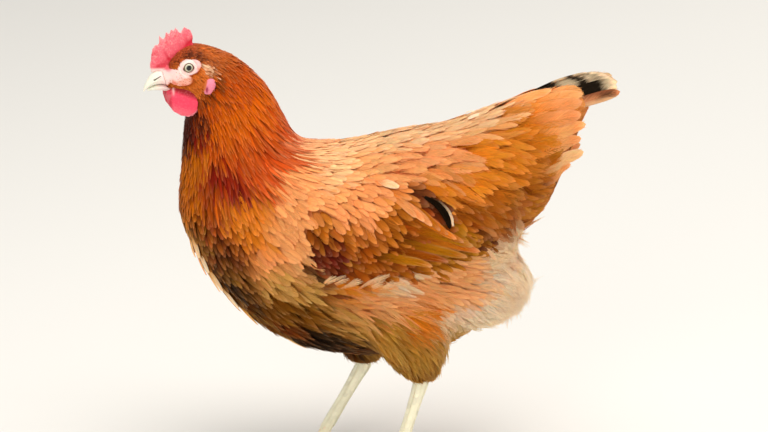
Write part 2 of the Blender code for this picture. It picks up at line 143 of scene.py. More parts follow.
plumageColours = {
    "crown": (172, 72, 36),
    "brow": (84, 26, 12),
    "cheek": (209, 103, 34),
    "earCream": (255, 212, 172),
    "nape": (186, 88, 30),
    "copper": (208, 92, 2),
    "hackle": (181, 68, 2),
    "amber": (194, 66, 2),
    "maroon": (122, 5, 2),
    "throat": (70, 12, 4),
    "tan": (193, 98, 2),
    "russet": (155, 58, 5),
    "chestnut": (118, 51, 4),
    "bronze": (128, 72, 6),
    "umber": (42, 17, 3),
    "dusk": (6, 2, 1),
    "peach": (253, 158, 93),
    "apricot": (250, 147, 85),
    "orange": (230, 118, 21),
    "pale": (255, 186, 128),
    "cream": (255, 216, 176),
    "ginger": (194, 101, 14),
    "walnut": (83, 28, 2),
    "wine": (95, 9, 2),
    "sand": (216, 146, 70),
    "rust": (165, 77, 2),
    "straw": (190, 126, 46),
    "blush": (255, 203, 154),
    "olive": (187, 111, 7),
    "clay": (214, 140, 94),
    "claret": (120, 44, 30),
    "stone": (176, 156, 124),
    "black": (12, 9, 8),
}

# where each colour lies on the plumage: place in millimetres (left side), reach, colour
markings = {  # left, front to back and up in millimetres, and reach
    "brow": ((5, -190, 388, 7), (15, -169, 385, 4), (15, -161, 383, 4), (16, -154, 380, 3),
        (16, -148, 377, 4), (17, -145, 372, 3)),
    "crown": ((10, -184, 385, 7), (6, -170, 392, 9)),
    "nape": ((2, -150, 384, 12), (20, -150, 376, 9), (19, -141, 368, 5)),
    "cheek": ((17, -178, 362, 8), (20, -165, 358, 8), (18, -172, 350, 7), (20, -158, 369, 5),
        (21, -158, 364, 5), (20, -163, 353, 5)),
    "earCream": ((19, -151, 371, 4), (19, -154, 373, 3)),
    "chestnut": ((19, -146, 366, 5), (21, -144, 362, 6), (22, -148, 350, 8), (50, -136, 206, 14),
        (36, -152, 198, 7), (40, -82, 134, 10)),
    # the dark throat is partly the coat's own colour and partly painted shadow under the wattles
    "throat": ((15, -172, 330, 12), (8, -178, 308, 14), (22, -159, 318, 10)),
    "maroon": ((24, -163, 303, 8), (43, -141, 268, 9), (37, -151, 275, 8), (50, -130, 263, 9),
        (55, -122, 259, 7)),
    "hackle": ((26, -150, 330, 9), (20, -122, 350, 12), (30, -112, 300, 14), (32, -146, 292, 9)),
    "copper": ((28, -142, 318, 12), (10, -104, 335, 14), (26, -120, 325, 16)),
    "amber": ((8, -90, 312, 12), (48, -108, 272, 10), (44, -92, 284, 12), (36, -72, 292, 12)),
    "tan": ((22, -166, 282, 12), (10, -176, 262, 16), (28, -168, 238, 14)),
    "russet": ((30, -160, 258, 12), (42, -150, 232, 14)),
    "orange": ((56, -130, 240, 12), (60, -112, 250, 10), (62, -108, 222, 14), (44, 102, 300, 16),
        (62, 56, 268, 14), (56, 92, 266, 16), (44, 120, 282, 12), (30, 140, 315, 14), (24, 159, 322, 12),
        (10, 160, 270, 10), (70, -20, 190, 12), (59, 49, 154, 9), (66, 40, 142, 9)),
    "bronze": ((30, -158, 212, 14), (40, -136, 185, 12), (46, -116, 166, 10), (50, -80, 150, 12),
        (56, -60, 158, 12), (45, 20, 98, 8), (56, -30, 128, 8)),
    "apricot": ((62, -100, 205, 12), (48, 30, 290, 16), (48, 66, 294, 18), (69, 35, 180, 9),
        (68, 30, 161, 9), (68, -5, 162, 12)),
    "sand": ((60, -92, 185, 12), (10, -172, 222, 9), (12, -164, 202, 8), (10, -146, 176, 8),
        (3, -76, 118, 6), (64, -70, 175, 12), (55, -22, 140, 12)),
    "straw": ((8, -122, 150, 8), (68, 13, 134, 12), (62, 31, 113, 10), (58, 5, 112, 10),
        (10, 60, 112, 20)),
    # of the umber, (73, -58, 195) is painted shadow under the wing's lower edge and (20, 0, 106) painted
    # shade under the belly
    "umber": ((33, -147, 184, 6), (36, -114, 154, 8), (73, -58, 195, 6), (20, 0, 106, 18)),
    # the dusk marks are painted shade on the underside, where the body turns away from the light
    "dusk": ((37, -134, 173, 7), (18, -60, 112, 16), (35, -48, 121, 14), (42, -30, 118, 10)),
    "cream": ((30, 112, 140, 12), (52, 88, 152, 12), (44, 109, 185, 10), (10, 125, 160, 20),
        (42, 98, 143, 14)),
    "blush": ((22, 100, 126, 12), (72, 21, 186, 9), (25, 115, 194, 16), (50, 103, 199, 10),
        (52, 63, 147, 8)),
    # painted shadow under the wing's lower edge
    "wine": ((74, -42, 190, 6),),
    "peach": ((70, -74, 210, 12), (68, -84, 228, 12), (66, -72, 258, 14), (52, -70, 278, 12),
        (48, -4, 288, 16), (5, 150, 346, 14), (68, 75, 197, 12), (66, 55, 176, 12), (58, 80, 167, 11),
        (71, 12, 163, 9)),
    "pale": ((20, -46, 298, 18), (44, -40, 288, 14), (0, 0, 308, 22), (8, 45, 314, 20), (10, 90, 334, 20),
        (72, 8, 186, 8), (54, 101, 174, 9)),
    "rust": ((50, 112, 238, 14), (64, 84, 247, 12), (36, 131, 261, 10)),
    "ginger": ((22, 159, 290, 12), (20, 142, 243, 14)),
    "walnut": ((14, 148, 262, 6),),
}

# the same on the folded wing
wingMarkings = {
    "peach": ((70, -66, 262, 14), (70, -40, 272, 14)),
    "apricot": ((71, -5, 270, 16), (74, -40, 250, 12), (78, -12, 250, 14)),
    "ginger": ((78, 15, 254, 12), (80, -55, 236, 10), (81, -30, 234, 12), (81, 8, 232, 14)),
    # painted shade in the recess at the front of the wing, low down
    "wine": ((80, -60, 218, 9), (80, -42, 212, 9), (78, -70, 226, 8)),
    "rust": ((79, -12, 204, 10), (79, -18, 218, 10), (79, 20, 212, 12), (66, 78, 240, 10)),
    "russet": ((79, 38, 233, 12),),
    "olive": ((78, 47, 216, 10), (71, 74, 222, 10)),
    "walnut": ((72, 43, 256, 10), (60, 92, 228, 6)),
    # painted shadow in the fold between the rump and the wing
    "umber": ((62, 86, 236, 5),),
}


def linear(colour):
    share = np.asarray(colour, float) / 255
    return np.where(share <= 0.04045, share / 12.92, ((share + 0.055) / 1.055) ** 2.4)


def markingTable(groups, palette):
    rows = np.array([row for rows in groups.values() for row in rows], float)
    colours = np.array([linear(palette[name]) for name, rows in groups.items() for row in rows])
    return rows[:, :3], rows[:, 3], colours


bodyTable, wingTable = (markingTable(groups, plumageColours) for groups in (markings, wingMarkings))


def mix(first, second, share):
    return first * (1 - share) + second * share


def mirroredPlaces(points):
    here = np.asarray(points, float) / mm
    return np.concatenate([np.abs(here[:, :1]), here[:, 1:]], 1)


# each colour of a table weighed by how near it lies to each place
def blended(here, table, least, fall):
    places, reaches, colours = table
    far = ((here[:, None, :] - places[None]) ** 2).sum(-1) / reaches[None] ** 2
    weight = 1 / (far + least) ** fall
    return (weight / weight.sum(1, keepdims=True)) @ colours


coatBlend = {"least": 0.45, "fall": 2.6}
faceBlend = {"least": 0.25, "fall": 3}
lieBlend = {"least": 60, "fall": 2.2}  # in square millimetres, as the lie has no reaches


def colourAt(points, table):
    return blended(mirroredPlaces(points), table, **coatBlend)


def step(value, low, high):
    share = np.clip((value - low) / (high - low), 0, 1)
    return share * share * (3 - 2 * share)


# a soft random height between -1 and 1 at places in metres, its lumps size millimetres across
def ripple(points, size, seed):
    shift = Vector((seed * 3.1, seed * 1.7, seed * 5.3))
    return np.array([noise.noise(Vector(p) / (size * mm) + shift) for p in points.tolist()])


def shadeOf(name):
    return linear(plumageColours[name])


# the lie of the coat, on the left: place, way the feathers point, length, width and depth, in millimetres

bodyLie = (
    (6, -192, 386, 0, 0.9, 0.5, 4, 1.7, 1.0), (0, -172, 393, 0, 1, 0, 6, 2.2, 1.6),
    (14, -176, 386, 0.1, 1, 0, 5, 1.9, 1.2), (0, -145, 381, 0, 0.85, -0.5, 12, 3, 2.6),
    (18, -176, 358, 0.05, 0.9, -0.45, 4, 1.5, 0.9), (22, -156, 366, 0.1, 0.85, -0.5, 6, 2, 1.6),
    (14, -180, 345, 0, 0.7, -0.7, 5, 1.8, 1.0), (3, -178, 326, 0, 0.1, -1, 9, 2.8, 2),
    (20, -158, 335, 0.05, 0.3, -0.95, 12, 2.8, 2.4), (22, -140, 360, 0.1, 0.6, -0.8, 14, 3, 3),
    (6, -112, 342, 0, 0.5, -0.85, 26, 4, 4), (26, -135, 328, 0.08, 0.38, -0.9, 22, 3.6, 3.4),
    (32, -125, 302, 0.12, 0.45, -0.88, 30, 4.2, 4), (10, -175, 300, 0, 0.08, -1, 15, 4, 3),
    (26, -160, 300, 0.06, 0.14, -1, 20, 4, 3.4), (8, -88, 304, 0, 0.92, -0.3, 34, 5, 4.5),
    (30, -95, 298, 0.1, 0.72, -0.65, 36, 4.8, 4.5), (42, -110, 280, 0.1, 0.62, -0.75, 34, 4.8, 4.5),
    (40, -140, 272, 0.1, 0.28, -0.95, 28, 4.8, 4), (10, -178, 262, 0, 0.04, -1, 14, 6, 3.5),
    (28, -168, 236, 0.05, 0.16, -1, 15, 6.6, 3.5), (55, -135, 235, 0.1, 0.45, -0.88, 17, 7.4, 4),
    (15, -158, 195, 0, 0.5, -0.85, 17, 7.2, 4), (50, -122, 190, 0.05, 0.75, -0.65, 20, 8, 4),
    (58, -100, 258, 0.1, 0.6, -0.75, 20, 8, 4), (62, -74, 270, 0.1, 0.85, -0.45, 20, 9, 4),
    (68, -80, 215, 0, 0.9, -0.4, 22, 9, 4.5), (0, -50, 300, 0, 1, 0.03, 24, 9, 4.5),
    (45, -40, 288, 0.05, 0.95, -0.2, 24, 10, 4.5), (0, 10, 310, 0, 1, 0.08, 28, 9, 5),
    (50, 20, 290, 0.03, 0.97, -0.2, 28, 10, 5), (0, 70, 328, 0, 1, 0.2, 34, 9, 5),
    (45, 75, 298, 0, 0.97, -0.12, 36, 8.5, 5), (62, 62, 268, -0.05, 0.8, -0.55, 34, 7.5, 5),
    (50, 105, 272, -0.25, 0.88, -0.35, 34, 8, 5), (50, 110, 235, -0.2, 0.75, -0.62, 28, 7, 5),
    (0, 135, 345, 0, 1, 0.25, 26, 9, 4), (28, 140, 315, -0.1, 1, 0.08, 28, 9.5, 4),
    (15, 152, 285, -0.1, 0.95, 0.15, 28, 10, 4), (15, 142, 240, 0, 0.9, -0.3, 26, 8, 5),
    (72, -20, 185, 0, 0.95, -0.25, 24, 8, 5), (10, -110, 137, 0, 0.88, -0.45, 20, 7, 5),
    (10, -50, 107, 0, 1, -0.15, 22, 7, 6), (45, -62, 135, 0, 0.92, -0.38, 22, 7.5, 5),
    (0, 30, 105, 0, 1, 0, 22, 5, 7), (55, 70, 195, 0, 0.95, -0.3, 26, 4.6, 7),
    (55, 95, 168, -0.1, 0.88, -0.45, 26, 4, 8), (10, 122, 170, 0, 0.8, -0.55, 24, 4, 9),
    (40, 78, 130, 0, 0.6, -0.8, 22, 4, 8), (70, 15, 168, 0, 0.92, -0.38, 26, 6, 6),
    (70, 25, 140, 0, 0.78, -0.6, 22, 5, 5), (60, 25, 115, 0, 0.5, -0.85, 14, 4, 3.5),
    (45, 20, 96, 0, 0.35, -0.93, 9, 3, 2),
)
wingLie = (
    (72, -72, 245, 0.05, 0.4, -0.9, 14, 8, 3), (70, -58, 272, 0.1, 0.85, -0.5, 16, 9, 3),
    (70, 0, 280, 0, 0.93, -0.35, 20, 10, 3), (81, -30, 240, 0, 0.6, -0.8, 17, 8.5, 3),
    (80, 20, 245, 0, 0.75, -0.66, 20, 10, 3), (80, -40, 210, 0, 0.75, -0.6, 16, 8, 3),
    (80, 10, 215, 0, 0.8, -0.58, 18, 9, 3), (79, 50, 222, 0, 0.88, -0.45, 22, 10, 3),
    (71, 80, 230, 0, 0.92, -0.35, 22, 9, 2.5),
)
thighStep = 32 * mm  # the right leg stands this much further forward than the left


def lieTable(lie):
    rows = np.array(lie, float)
    return rows[:, :3], np.array([Vector(row[3:6]).normalized() for row in lie], float), rows[:, 6:] * mm


bodyLies, wingLies = lieTable(bodyLie), lieTable(wingLie)


def unit(vectors):
    return vectors / np.maximum(np.linalg.norm(vectors, axis=-1, keepdims=True), 1e-12)


# the way of the coat along the surface, and its length, width and depth, at places in metres
def lieAt(points, normals, table):
    places, ways, sizes = table
    here = mirroredPlaces(points)
    side = np.where(np.asarray(points)[:, :1] < 0, -1.0, 1.0)
    far = ((here[:, None, :] - places[None]) ** 2).sum(-1)
    weight = 1 / (far + lieBlend["least"]) ** lieBlend["fall"]
    weight = weight / weight.sum(1, keepdims=True)
    way = weight @ ways
    way = np.concatenate([way[:, :1] * side, way[:, 1:]], 1)
    way -= normals * (way * normals).sum(1, keepdims=True)
    return unit(way), weight @ sizes


# surfaces made from the frame

featheredNodes = ["head", "neck", "breast", "trunk", "rump", "tail_base", "fluff", "wing_left", "wing_right"]
featheredNodes += ["thigh_left", "thigh_right"]
bareNodes = ["comb", "wattle_left", "wattle_right", "ear_lobe_left", "ear_lobe_right"]
legNodes = ["shank_left", "shank_right", "foot_left", "foot_right"]


# copies of CAD nodes in one bmesh, each swollen a little so that the gaps between them close
def gathered(names, swell):
    whole = bmesh.new()
    for name in names:
        part = bmesh.new()
        part.from_mesh(nodes[name].data)
        bmesh.ops.remove_doubles(part, verts=part.verts, dist=0.01 * mm)
        part.normal_update()
        for vert in part.verts:
            vert.co += vert.normal * swell
        copy = bpy.data.meshes.new("copy")
        part.to_mesh(copy)
        part.free()
        whole.from_mesh(copy)
        bpy.data.meshes.remove(copy)
    return whole


def applyModifiers(obj):
    bpy.context.view_layer.update()
    graph = bpy.context.evaluated_depsgraph_get()
    mesh = bpy.data.meshes.new_from_object(obj.evaluated_get(graph))
    obj.modifiers.clear()
    old = obj.data
    obj.data = mesh
    bpy.data.meshes.remove(old)


def readAll(items, field):
    out = np.empty(len(items), int)
    items.foreach_get(field, out)
    return out


def readVectors(items, field="co", kind=float):
    out = np.empty(len(items) * 3, kind)
    items.foreach_get(field, out)
    return out.reshape(-1, 3)


def writeAll(items, field, values, kind=np.float32):
    items.foreach_set(field, np.asarray(values).astype(kind).ravel())


def paintPoints(mesh, colours):
    full = np.concatenate([colours.reshape(-1, 3), np.ones((len(mesh.vertices), 1))], 1)
    writeAll(mesh.attributes.new("coat", "FLOAT_COLOR", "POINT").data, "color", full)


def setVerts(mesh, places):
    writeAll(mesh.vertices, "co", places)
    mesh.update()


def soften(obj, factor, rounds, group=""):
    soft = obj.modifiers.new("soft", "SMOOTH")
    soft.factor, soft.iterations, soft.vertex_group = factor, rounds, group


# a vertex group whose weights are the amounts, in tenths
def addGroup(obj, name, amounts):
    group = obj.vertex_groups.new(name=name)
    for tenths in range(11):
        picked = np.nonzero(np.round(amounts * 10) == tenths)[0]
        group.add(picked.tolist(), tenths / 10, "REPLACE")


# 0 on the comb's blade, whose points stay sharp, 1 elsewhere
def notComb(points):
    side, front, up = inHead(points).T
    return 1 - 0.85 * step(up, 8, 12) * step(front, -9, -7) * (1 - step(np.abs(side - 1), 7, 9))


def remeshed(name, bm, voxel, smooth, weight=None, more=0):
    obj = meshObject(name, bm)
    grid = obj.modifiers.new("remesh", "REMESH")
    grid.mode = "VOXEL"
    grid.voxel_size = voxel
    grid.use_smooth_shade = True
    applyModifiers(obj)
    soften(obj, 0.5, smooth)
    if weight is not None:
        addGroup(obj, "soft", weight(readVectors(obj.data.vertices)))
        soften(obj, 0.7, more, "soft")
    applyModifiers(obj)
    return obj


# 1 on the body, falling to almost none on the head, where the shapes are small
def softness(points):
    high = np.clip((points[:, 2] / mm - 300) / 50, 0, 1)
    ahead = np.clip((-90 - points[:, 1] / mm) / 50, 0, 1)
    low = np.clip((110 - points[:, 2] / mm) / 15, 0, 1)
    return np.clip(1 - 0.93 * high * ahead - 0.6 * low, 0, 1)


# a mesh to look up nearest places and smooth normals on
class Surface:
    def __init__(self, obj):
        self.places = readVectors(obj.data.vertices)
        self.normals = readVectors(obj.data.vertices, "normal")
        obj.data.calc_loop_triangles()
        self.triangles = readVectors(obj.data.loop_triangles, "vertices", int)
        self.tree = BVHTree.FromPolygons(self.places.tolist(), self.triangles.tolist())

    def nearest(self, points):
        found = [self.tree.find_nearest(p) for p in points.tolist()]
        where = np.array([f[0] for f in found])
        face = self.triangles[np.array([f[2] for f in found])]
        corners = self.places[face]
        away = np.linalg.norm(corners - where[:, None], axis=2) + 1e-6
        share = (1 / away) / (1 / away).sum(1, keepdims=True)
        return where, unit((self.normals[face] * share[..., None]).sum(1))


outer = Surface(remeshed("outer", gathered(featheredNodes, 0.3 * mm), 1.8 * mm, 2, softness, 30))
print("plumage surface", len(outer.places))
bpy.data.objects.remove(bpy.data.objects["outer"])

fleshNodes = featheredNodes + bareNodes + legNodes
cadVerts, cadFaces, cadOwner = [], [], []
for index, name in enumerate(fleshNodes):
    mesh = nodes[name].data
    start = len(cadVerts)
    cadVerts += [v.co.copy() for v in mesh.vertices]
    cadFaces += [[start + i for i in face.vertices] for face in mesh.polygons]
    cadOwner += [index] * len(mesh.polygons)
cadTree = BVHTree.FromPolygons(cadVerts, cadFaces)
cadOwner = np.array(cadOwner)


# the CAD node nearest to each place, as its number among the flesh nodes
def ownerOf(points):
    return cadOwner[np.array([cadTree.find_nearest(p)[2] for p in np.asarray(points).tolist()])]


def ownedBy(owners, *names):
    return np.isin(owners, [fleshNodes.index(n) for n in names])


# blades: one closed leaf shape, laid along the surface many times over and joined

bakePatch = 0.003  # a blade's share of its bake map, across
mostTriangles = 195000  # in one piece of coat
triesEach = 6  # random places tried for each blade that might fit
sharpFrom = math.radians(60)

outlines = {  # width at the root, how fast it grows, where it narrows, and the tip's two powers
    "contour": (0.45, 1.2, 0.55, 2.2, 0.5),
    "lance": (0.5, 1.6, 0.3, 1.7, 0.8),
    "oval": (0.5, 1.3, 0.42, 2.6, 0.6),
    "wisp": (0.6, 1.2, 0.0, 2.2, 0.8),
    "plate": (1.0, 0.0, 0.45, 4, 0.5),
    "quill": (0.45, 1.3, 0.72, 2.4, 0.5),
}


def outlineWidth(outline, t):
    start, growth, narrows, power, blunt = outlines[outline]
    tip = 1 - np.clip((t - narrows) / (1 - narrows), 0, 1) ** power
    return np.minimum(1, start + growth * t) * np.clip(tip, 0, 1) ** blunt


# a closed prism from a cone operator: its places (round in x and y, along z from 0 to 1) and its faces
def prism(sides, rows):
    bm = bmesh.new()
    bmesh.ops.create_cone(bm, cap_ends=True, segments=sides, radius1=1, radius2=1, depth=1)
    upright = [e for e in bm.edges if abs(e.verts[0].co.z - e.verts[1].co.z) > 0.5]
    if rows > 1:
        bmesh.ops.subdivide_edges(bm, edges=upright, cuts=rows - 1, use_grid_fill=True)
    bmesh.ops.recalc_face_normals(bm, faces=bm.faces)
    bm.verts.index_update()
    places = np.array([v.co for v in bm.verts]) + np.array([0, 0, 0.5])
    faces = [[v.index for v in reversed(face.verts)] for face in bm.faces]  # y becomes up
    bm.free()
    return places, faces


# a blade as it is built up: points across it, along it, up, out to its edge, and their locks of barbs
class Blade:
    def __init__(self):
        self.parts, self.polygons, self.start = [], [], 0

    def add(self, faces, lock, x, t, z, edge):
        self.parts.append((x, t, z, np.broadcast_to(edge, len(t)), np.full(len(t), lock)))
        self.polygons += [[i + self.start for i in face] for face in faces]
        self.start += len(t)

    def template(self, locks):
        points = dict(zip(("x", "t", "z", "edge", "lock"), map(np.concatenate, zip(*self.parts))))
        return points | {
            "locks": locks,
            "loops": np.concatenate(self.polygons),
            "totals": np.array([len(face) for face in self.polygons]),
            "triangles": sum(len(face) - 2 for face in self.polygons),
        }


# a flat leaf, and slender barbs over it that leave its shaft and end just past its edge
def leafTemplate(outline, rows=6, sides=4, barbs=0, tipCrowd=1.5, leaf=1.0, barbWidth=0.2, barbRows=2,
                 slim=5.0, shaft=0.0, sweep=0.40, past=1.0):
    blade = Blade()
    places, faces = prism(sides, rows)
    along = 1 - (1 - np.clip(places[:, 2], 0, 1)) ** tipCrowd
    width = np.maximum(outlineWidth(outline, along), 0.04) * leaf
    blade.add(faces, 0, places[:, 0] * width, along, places[:, 1] * 0.5, np.abs(places[:, 0]))
    ring, ringFaces = prism(3, barbRows)
    q = ring[:, 2]
    for number, (side, k) in enumerate(itertools.product((-1, 1), range(barbs)), 1):
        t0 = 0.02 + (0.96 - sweep * 0.7) * ((k + 0.5) / barbs)
        t1 = min(1.0, t0 + sweep)
        reach = outlineWidth(outline, min(t1 - 0.04, 0.985)) * past
        end = np.array([side * reach, (t1 * (0.99 + 0.01 * past)) * slim])
        root = np.array([side * 0.03, t0 * slim])
        knee = np.array([end[0] * 0.62, (t0 * 0.55 + t1 * 0.45) * slim])
        curve = np.outer((1 - q) ** 2, root) + np.outer(2 * q * (1 - q), knee) + np.outer(q**2, end)
        way = unit(np.outer(1 - q, knee - root) + np.outer(q, end - knee))
        offset = ring[:, 0] * barbWidth * (1 - 0.8 * q**1.5)
        t = (curve[:, 1] - way[:, 0] * offset) / slim
        x = curve[:, 0] + way[:, 1] * offset
        z = 0.45 + 0.55 * (ring[:, 1] + 0.5) * (1 - 0.5 * q)
        blade.add(ringFaces, number, x, t, z, np.clip(np.abs(curve[:, 0]), 0, 1))
    if shaft:
        rod, rodFaces = prism(4, 4)
        x = rod[:, 0] * shaft * (1 - 0.75 * rod[:, 2])
        blade.add(rodFaces, 2 * barbs + 1, x, rod[:, 2] * 0.97, 1.2 + 0.8 * rod[:, 1], 0.0)
    return blade.template(1 + 2 * barbs + (shaft > 0))


# a tuft of down: thin pointed strands, each a closed prism, that part or draw together as they go
def tuftTemplate(strands, seed, rows=3, thin=0.11, fan=0.9, part=(0.25, 0.75)):
    rng = np.random.default_rng(seed)
    blade = Blade()
    ring, ringFaces = prism(3, rows)
    q = ring[:, 2]
    for number in range(strands):
        side = fan * (2 * (number + 0.5) / strands - 1) + rng.normal(0, 0.1)
        t = q * (1.0 - 0.22 * abs(side) + rng.normal(0, 0.06))
        curl = rng.normal(0, 0.16) * np.sin(q * 3.1)
        x = side * (part[0] + part[1] * q) + curl + ring[:, 0] * thin * (1.15 - 1.0 * q**1.2)
        z = ring[:, 1] * 0.8 * (1 - 0.6 * q) + 1.4 * rng.random() * q
        blade.add(ringFaces, number, x, t, z, min(abs(side), 1.0) * 0.6)
    return blade.template(strands)


# joins copies of a template, each bent along its own path, into one piece with its maps
def layBlades(name, template, paths, normals, widths, thickness, ridge, colours, roots, axis, bend=None,
              ragged=0.08, streak=0.10, soft=0.0):
    count, steps = paths.shape[0], paths.shape[1] - 1
    size = len(template["t"])
    spot = template["t"] * steps
    low = np.clip(spot.astype(int), 0, steps - 1)
    part = spot - low
    blend = np.zeros((size, steps + 1))
    blend[np.arange(size), low] = 1 - part
    blend[np.arange(size), low + 1] += part
    tangents = unit(np.gradient(paths, axis=1))
    across = unit(np.cross(tangents, normals))
    over = np.cross(across, tangents)
    place, *ways = (np.einsum("ms,nsk->nmk", blend, values) for values in (paths, across, over, tangents))
    sideways, upward, onward = map(unit, ways)
    lock = template["lock"]
    wide = 1 + ragged * dice.standard_normal((count, template["locks"]))[:, lock]
    ahead = ragged * 0.5 * dice.standard_normal((count, template["locks"]))[:, lock] * template["t"]
    length = np.linalg.norm(paths[:, -1] - paths[:, 0], axis=1)
    x = template["x"][None] * wide
    half = widths[:, None] / 2
    raised = thickness * template["z"][None] + ridge * half * (1 - np.clip(x**2, 0, 1.5))
    slide = half * x
    if bend is not None:
        slide = slide + bend[:, None] * template["t"][None] ** 2
    place = place + sideways * slide[..., None] + upward * raised[..., None]
    place = place + onward * (ahead * length[:, None])[..., None]
    shade = np.exp(streak * dice.standard_normal((count, template["locks"])))[:, lock]
    if callable(colours):
        colours = colours(place, template)
    colours = colours * shade[..., None]
    mesh = bpy.data.meshes.new(name)
    mesh.vertices.add(count * size)
    writeAll(mesh.vertices, "co", place)
    loops = template["loops"][None] + (np.arange(count) * size)[:, None]
    totals = np.tile(template["totals"], count)
    mesh.loops.add(loops.size)
    writeAll(mesh.loops, "vertex_index", loops, np.int32)
    mesh.polygons.add(len(totals))
    writeAll(mesh.polygons, "loop_start", np.cumsum(totals) - totals, np.int32)
    mesh.update(calc_edges=True)
    mesh.shade_smooth()
    mesh.set_sharp_from_angle(angle=sharpFrom)
    if soft:
        facing = readVectors(mesh.polygons, "normal").reshape(count, -1, 3)
        facing = np.repeat(facing, template["totals"], axis=1)
        body = upward[:, template["loops"]]
        agreed = soft * step((facing * body).sum(2, keepdims=True), 0.1, 0.5)
        shading = unit(mix(facing, body, agreed))
        writeAll(mesh.attributes.new("custom_normal", "FLOAT_VECTOR", "CORNER").data, "vector", shading)
    paintPoints(mesh, colours)
    aside = 0.5 + 0.5 * template["edge"] * np.sign(template["x"])
    corners = np.stack([aside, np.clip(template["t"], 0, 1)], 1)[template["loops"]]
    writeAll(mesh.uv_layers.new(name="vane").data, "uv", np.tile(corners, (count, 1)))
    spots = unwrapped(roots, axis)[:, None] + (corners - 0.5) * bakePatch
    writeAll(mesh.uv_layers.new(name="OFBake").data, "uv", spots)
    print(name, count, "blades,", count * template["triangles"], "triangles")
    return linked(name, mesh)


# each root's place on the skin unrolled round an axis: turn round it and way along it, from 0 to 1
def unwrapped(roots, axis):
    start, end = (np.array(p, float) * mm for p in axis)
    along = unit(end - start)
    side = np.array([1.0, 0, 0])
    up = np.cross(along, side)
    away = roots - start
    turn = np.arctan2(away @ side, away @ up)
    way = away @ along
    both = np.stack([turn, way], 1)
    low, high = both.min(0), both.max(0)
    return 0.01 + 0.98 * (both - low) / np.maximum(high - low, 1e-6)


# coat laid over the surface

# well spread roots where mask allows: spacing metres apart across the lie, stretch times that along it
def scatter(mask, spacing, seed, table, offset, stretch):
    rng = np.random.default_rng(seed)
    corners = outer.places[outer.triangles]
    middle = corners.mean(1)
    keep = mask(middle)
    corners, middle, index = corners[keep], middle[keep], np.nonzero(keep)[0]
    area = np.linalg.norm(np.cross(corners[:, 1] - corners[:, 0], corners[:, 2] - corners[:, 0]), axis=1) / 2
    gap = spacing(middle)
    chance = area / gap**2
    tries = int(chance.sum() * triesEach / stretch)
    picks = rng.choice(len(area), tries, p=chance / chance.sum())
    a, b = rng.random(tries), rng.random(tries)
    flip = a + b > 1
    a, b = np.where(flip, 1 - a, a), np.where(flip, 1 - b, b)
    c = corners[picks]
    points = c[:, 0] + (c[:, 1] - c[:, 0]) * a[:, None] + (c[:, 2] - c[:, 0]) * b[:, None]
    normals = unit(outer.normals[outer.triangles[index[picks]]].mean(1))
    gaps = gap[picks]
    cell = gaps.max() * stretch
    ways = lieAt(points + offset, normals, table)[0]
    shrink = 1 - 1 / stretch**2
    taken, chosen = {}, []
    around = list(itertools.product((-1, 0, 1), repeat=3))

    def crowded(key, point, way, room):
        for x, y, z in around:
            for other in taken.get((key[0] + x, key[1] + y, key[2] + z), ()):
                x1, y1, z1 = other[0] - point[0], other[1] - point[1], other[2] - point[2]
                ahead = x1 * way[0] + y1 * way[1] + z1 * way[2]
                if x1 * x1 + y1 * y1 + z1 * z1 - ahead * ahead * shrink < room * room:
                    return True
        return False

    cells = map(tuple, np.floor(points / cell).astype(int).tolist())
    rows = zip(cells, points.tolist(), ways.tolist(), gaps.tolist())
    for i, (key, point, way, room) in enumerate(rows):
        if not crowded(key, point, way, room):
            taken.setdefault(key, []).append(point)
            chosen.append(i)
    return points[chosen], normals[chosen]


# vectors turned about axes that are square to them
def turned(vectors, axes, angles):
    angles = angles.reshape(-1, *[1] * (vectors.ndim - 1))
    return vectors * np.cos(angles) + np.cross(axes, vectors) * np.sin(angles)


# paths that follow the lie of the coat from each root, and the normals beside them
def traced(roots, normals, table, lengths, steps, hug, jitter, rng, offset, wander):
    swirl = rng.normal(0, jitter, len(roots)) + ripple(roots, 26.0, 3) * wander
    way = turned(lieAt(roots + offset, normals, table)[0], normals, swirl)
    place, normal = roots, normals
    paths, sides = [place], [normal]
    for stage in range(steps):
        ahead = place + way * (lengths / steps)[:, None]
        onSurface, normal = outer.nearest(ahead)
        place = mix(ahead, onSurface, hug)
        way = mix(way, lieAt(onSurface + offset, normal, table)[0], 0.25)
        way -= normal * (way * normal).sum(1, keepdims=True) * hug
        way = unit(way)
        paths.append(place)
        sides.append(normal)
    return np.stack(paths, 1), np.stack(sides, 1)


# each blade's colours from root to tip: its place in the table, mottled, with painted shade at its root,
# where the blades over it lie, and painted light on the coat's lumps, paler crests and darker hollows; and
# paler at its tip
def coatColours(tract, places, offset, paintedRelief, rng):
    count = len(places)
    tips = places + rng.normal(0, tract["mottle"] * mm, (count, 3))
    base = colourAt(tips + offset, tract["markings"])
    calm = step(base @ np.array([0.3, 0.59, 0.11]), 0.16, 0.46)[:, None]  # the pale coat is the plainer
    steady = 1 - 0.6 * calm
    base = base * np.exp(rng.normal(0, tract["vary"], (count, 1)) * steady)
    tinge = paintedRelief + rng.normal(0, tract["tinge"], count) * steady[:, 0]
    # painted light: crests of the coat's lumps paler as a painted highlight, hollows darker and browner as
    # painted shade; the random tinge adds each blade's own tone
    crest, hollow = np.clip(tinge, 0, 1)[:, None], np.clip(-tinge, 0, 1)[:, None]
    base = base ** (1 - 0.4 * crest)
    base = mix(base, base * np.array([[0.78, 0.58, 0.42]]), hollow)
    base = base * np.exp(rng.normal(0, 0.02, base.shape))
    # painted shade: the root deeper and darker, less so on the pale coat
    rootShade = (base ** (1.12 - 0.1 * calm) * mix(tract["rootShade"], 0.97, calm))[:, None]
    share = np.clip(tract["template"]["t"], 0, 1)[None, :, None]
    colours = mix(rootShade, base[:, None], step(share, *tract["fade"]))
    return mix(colours, shadeOf("cream"), tract["pale"] * step(share, 0.7, 1.0))


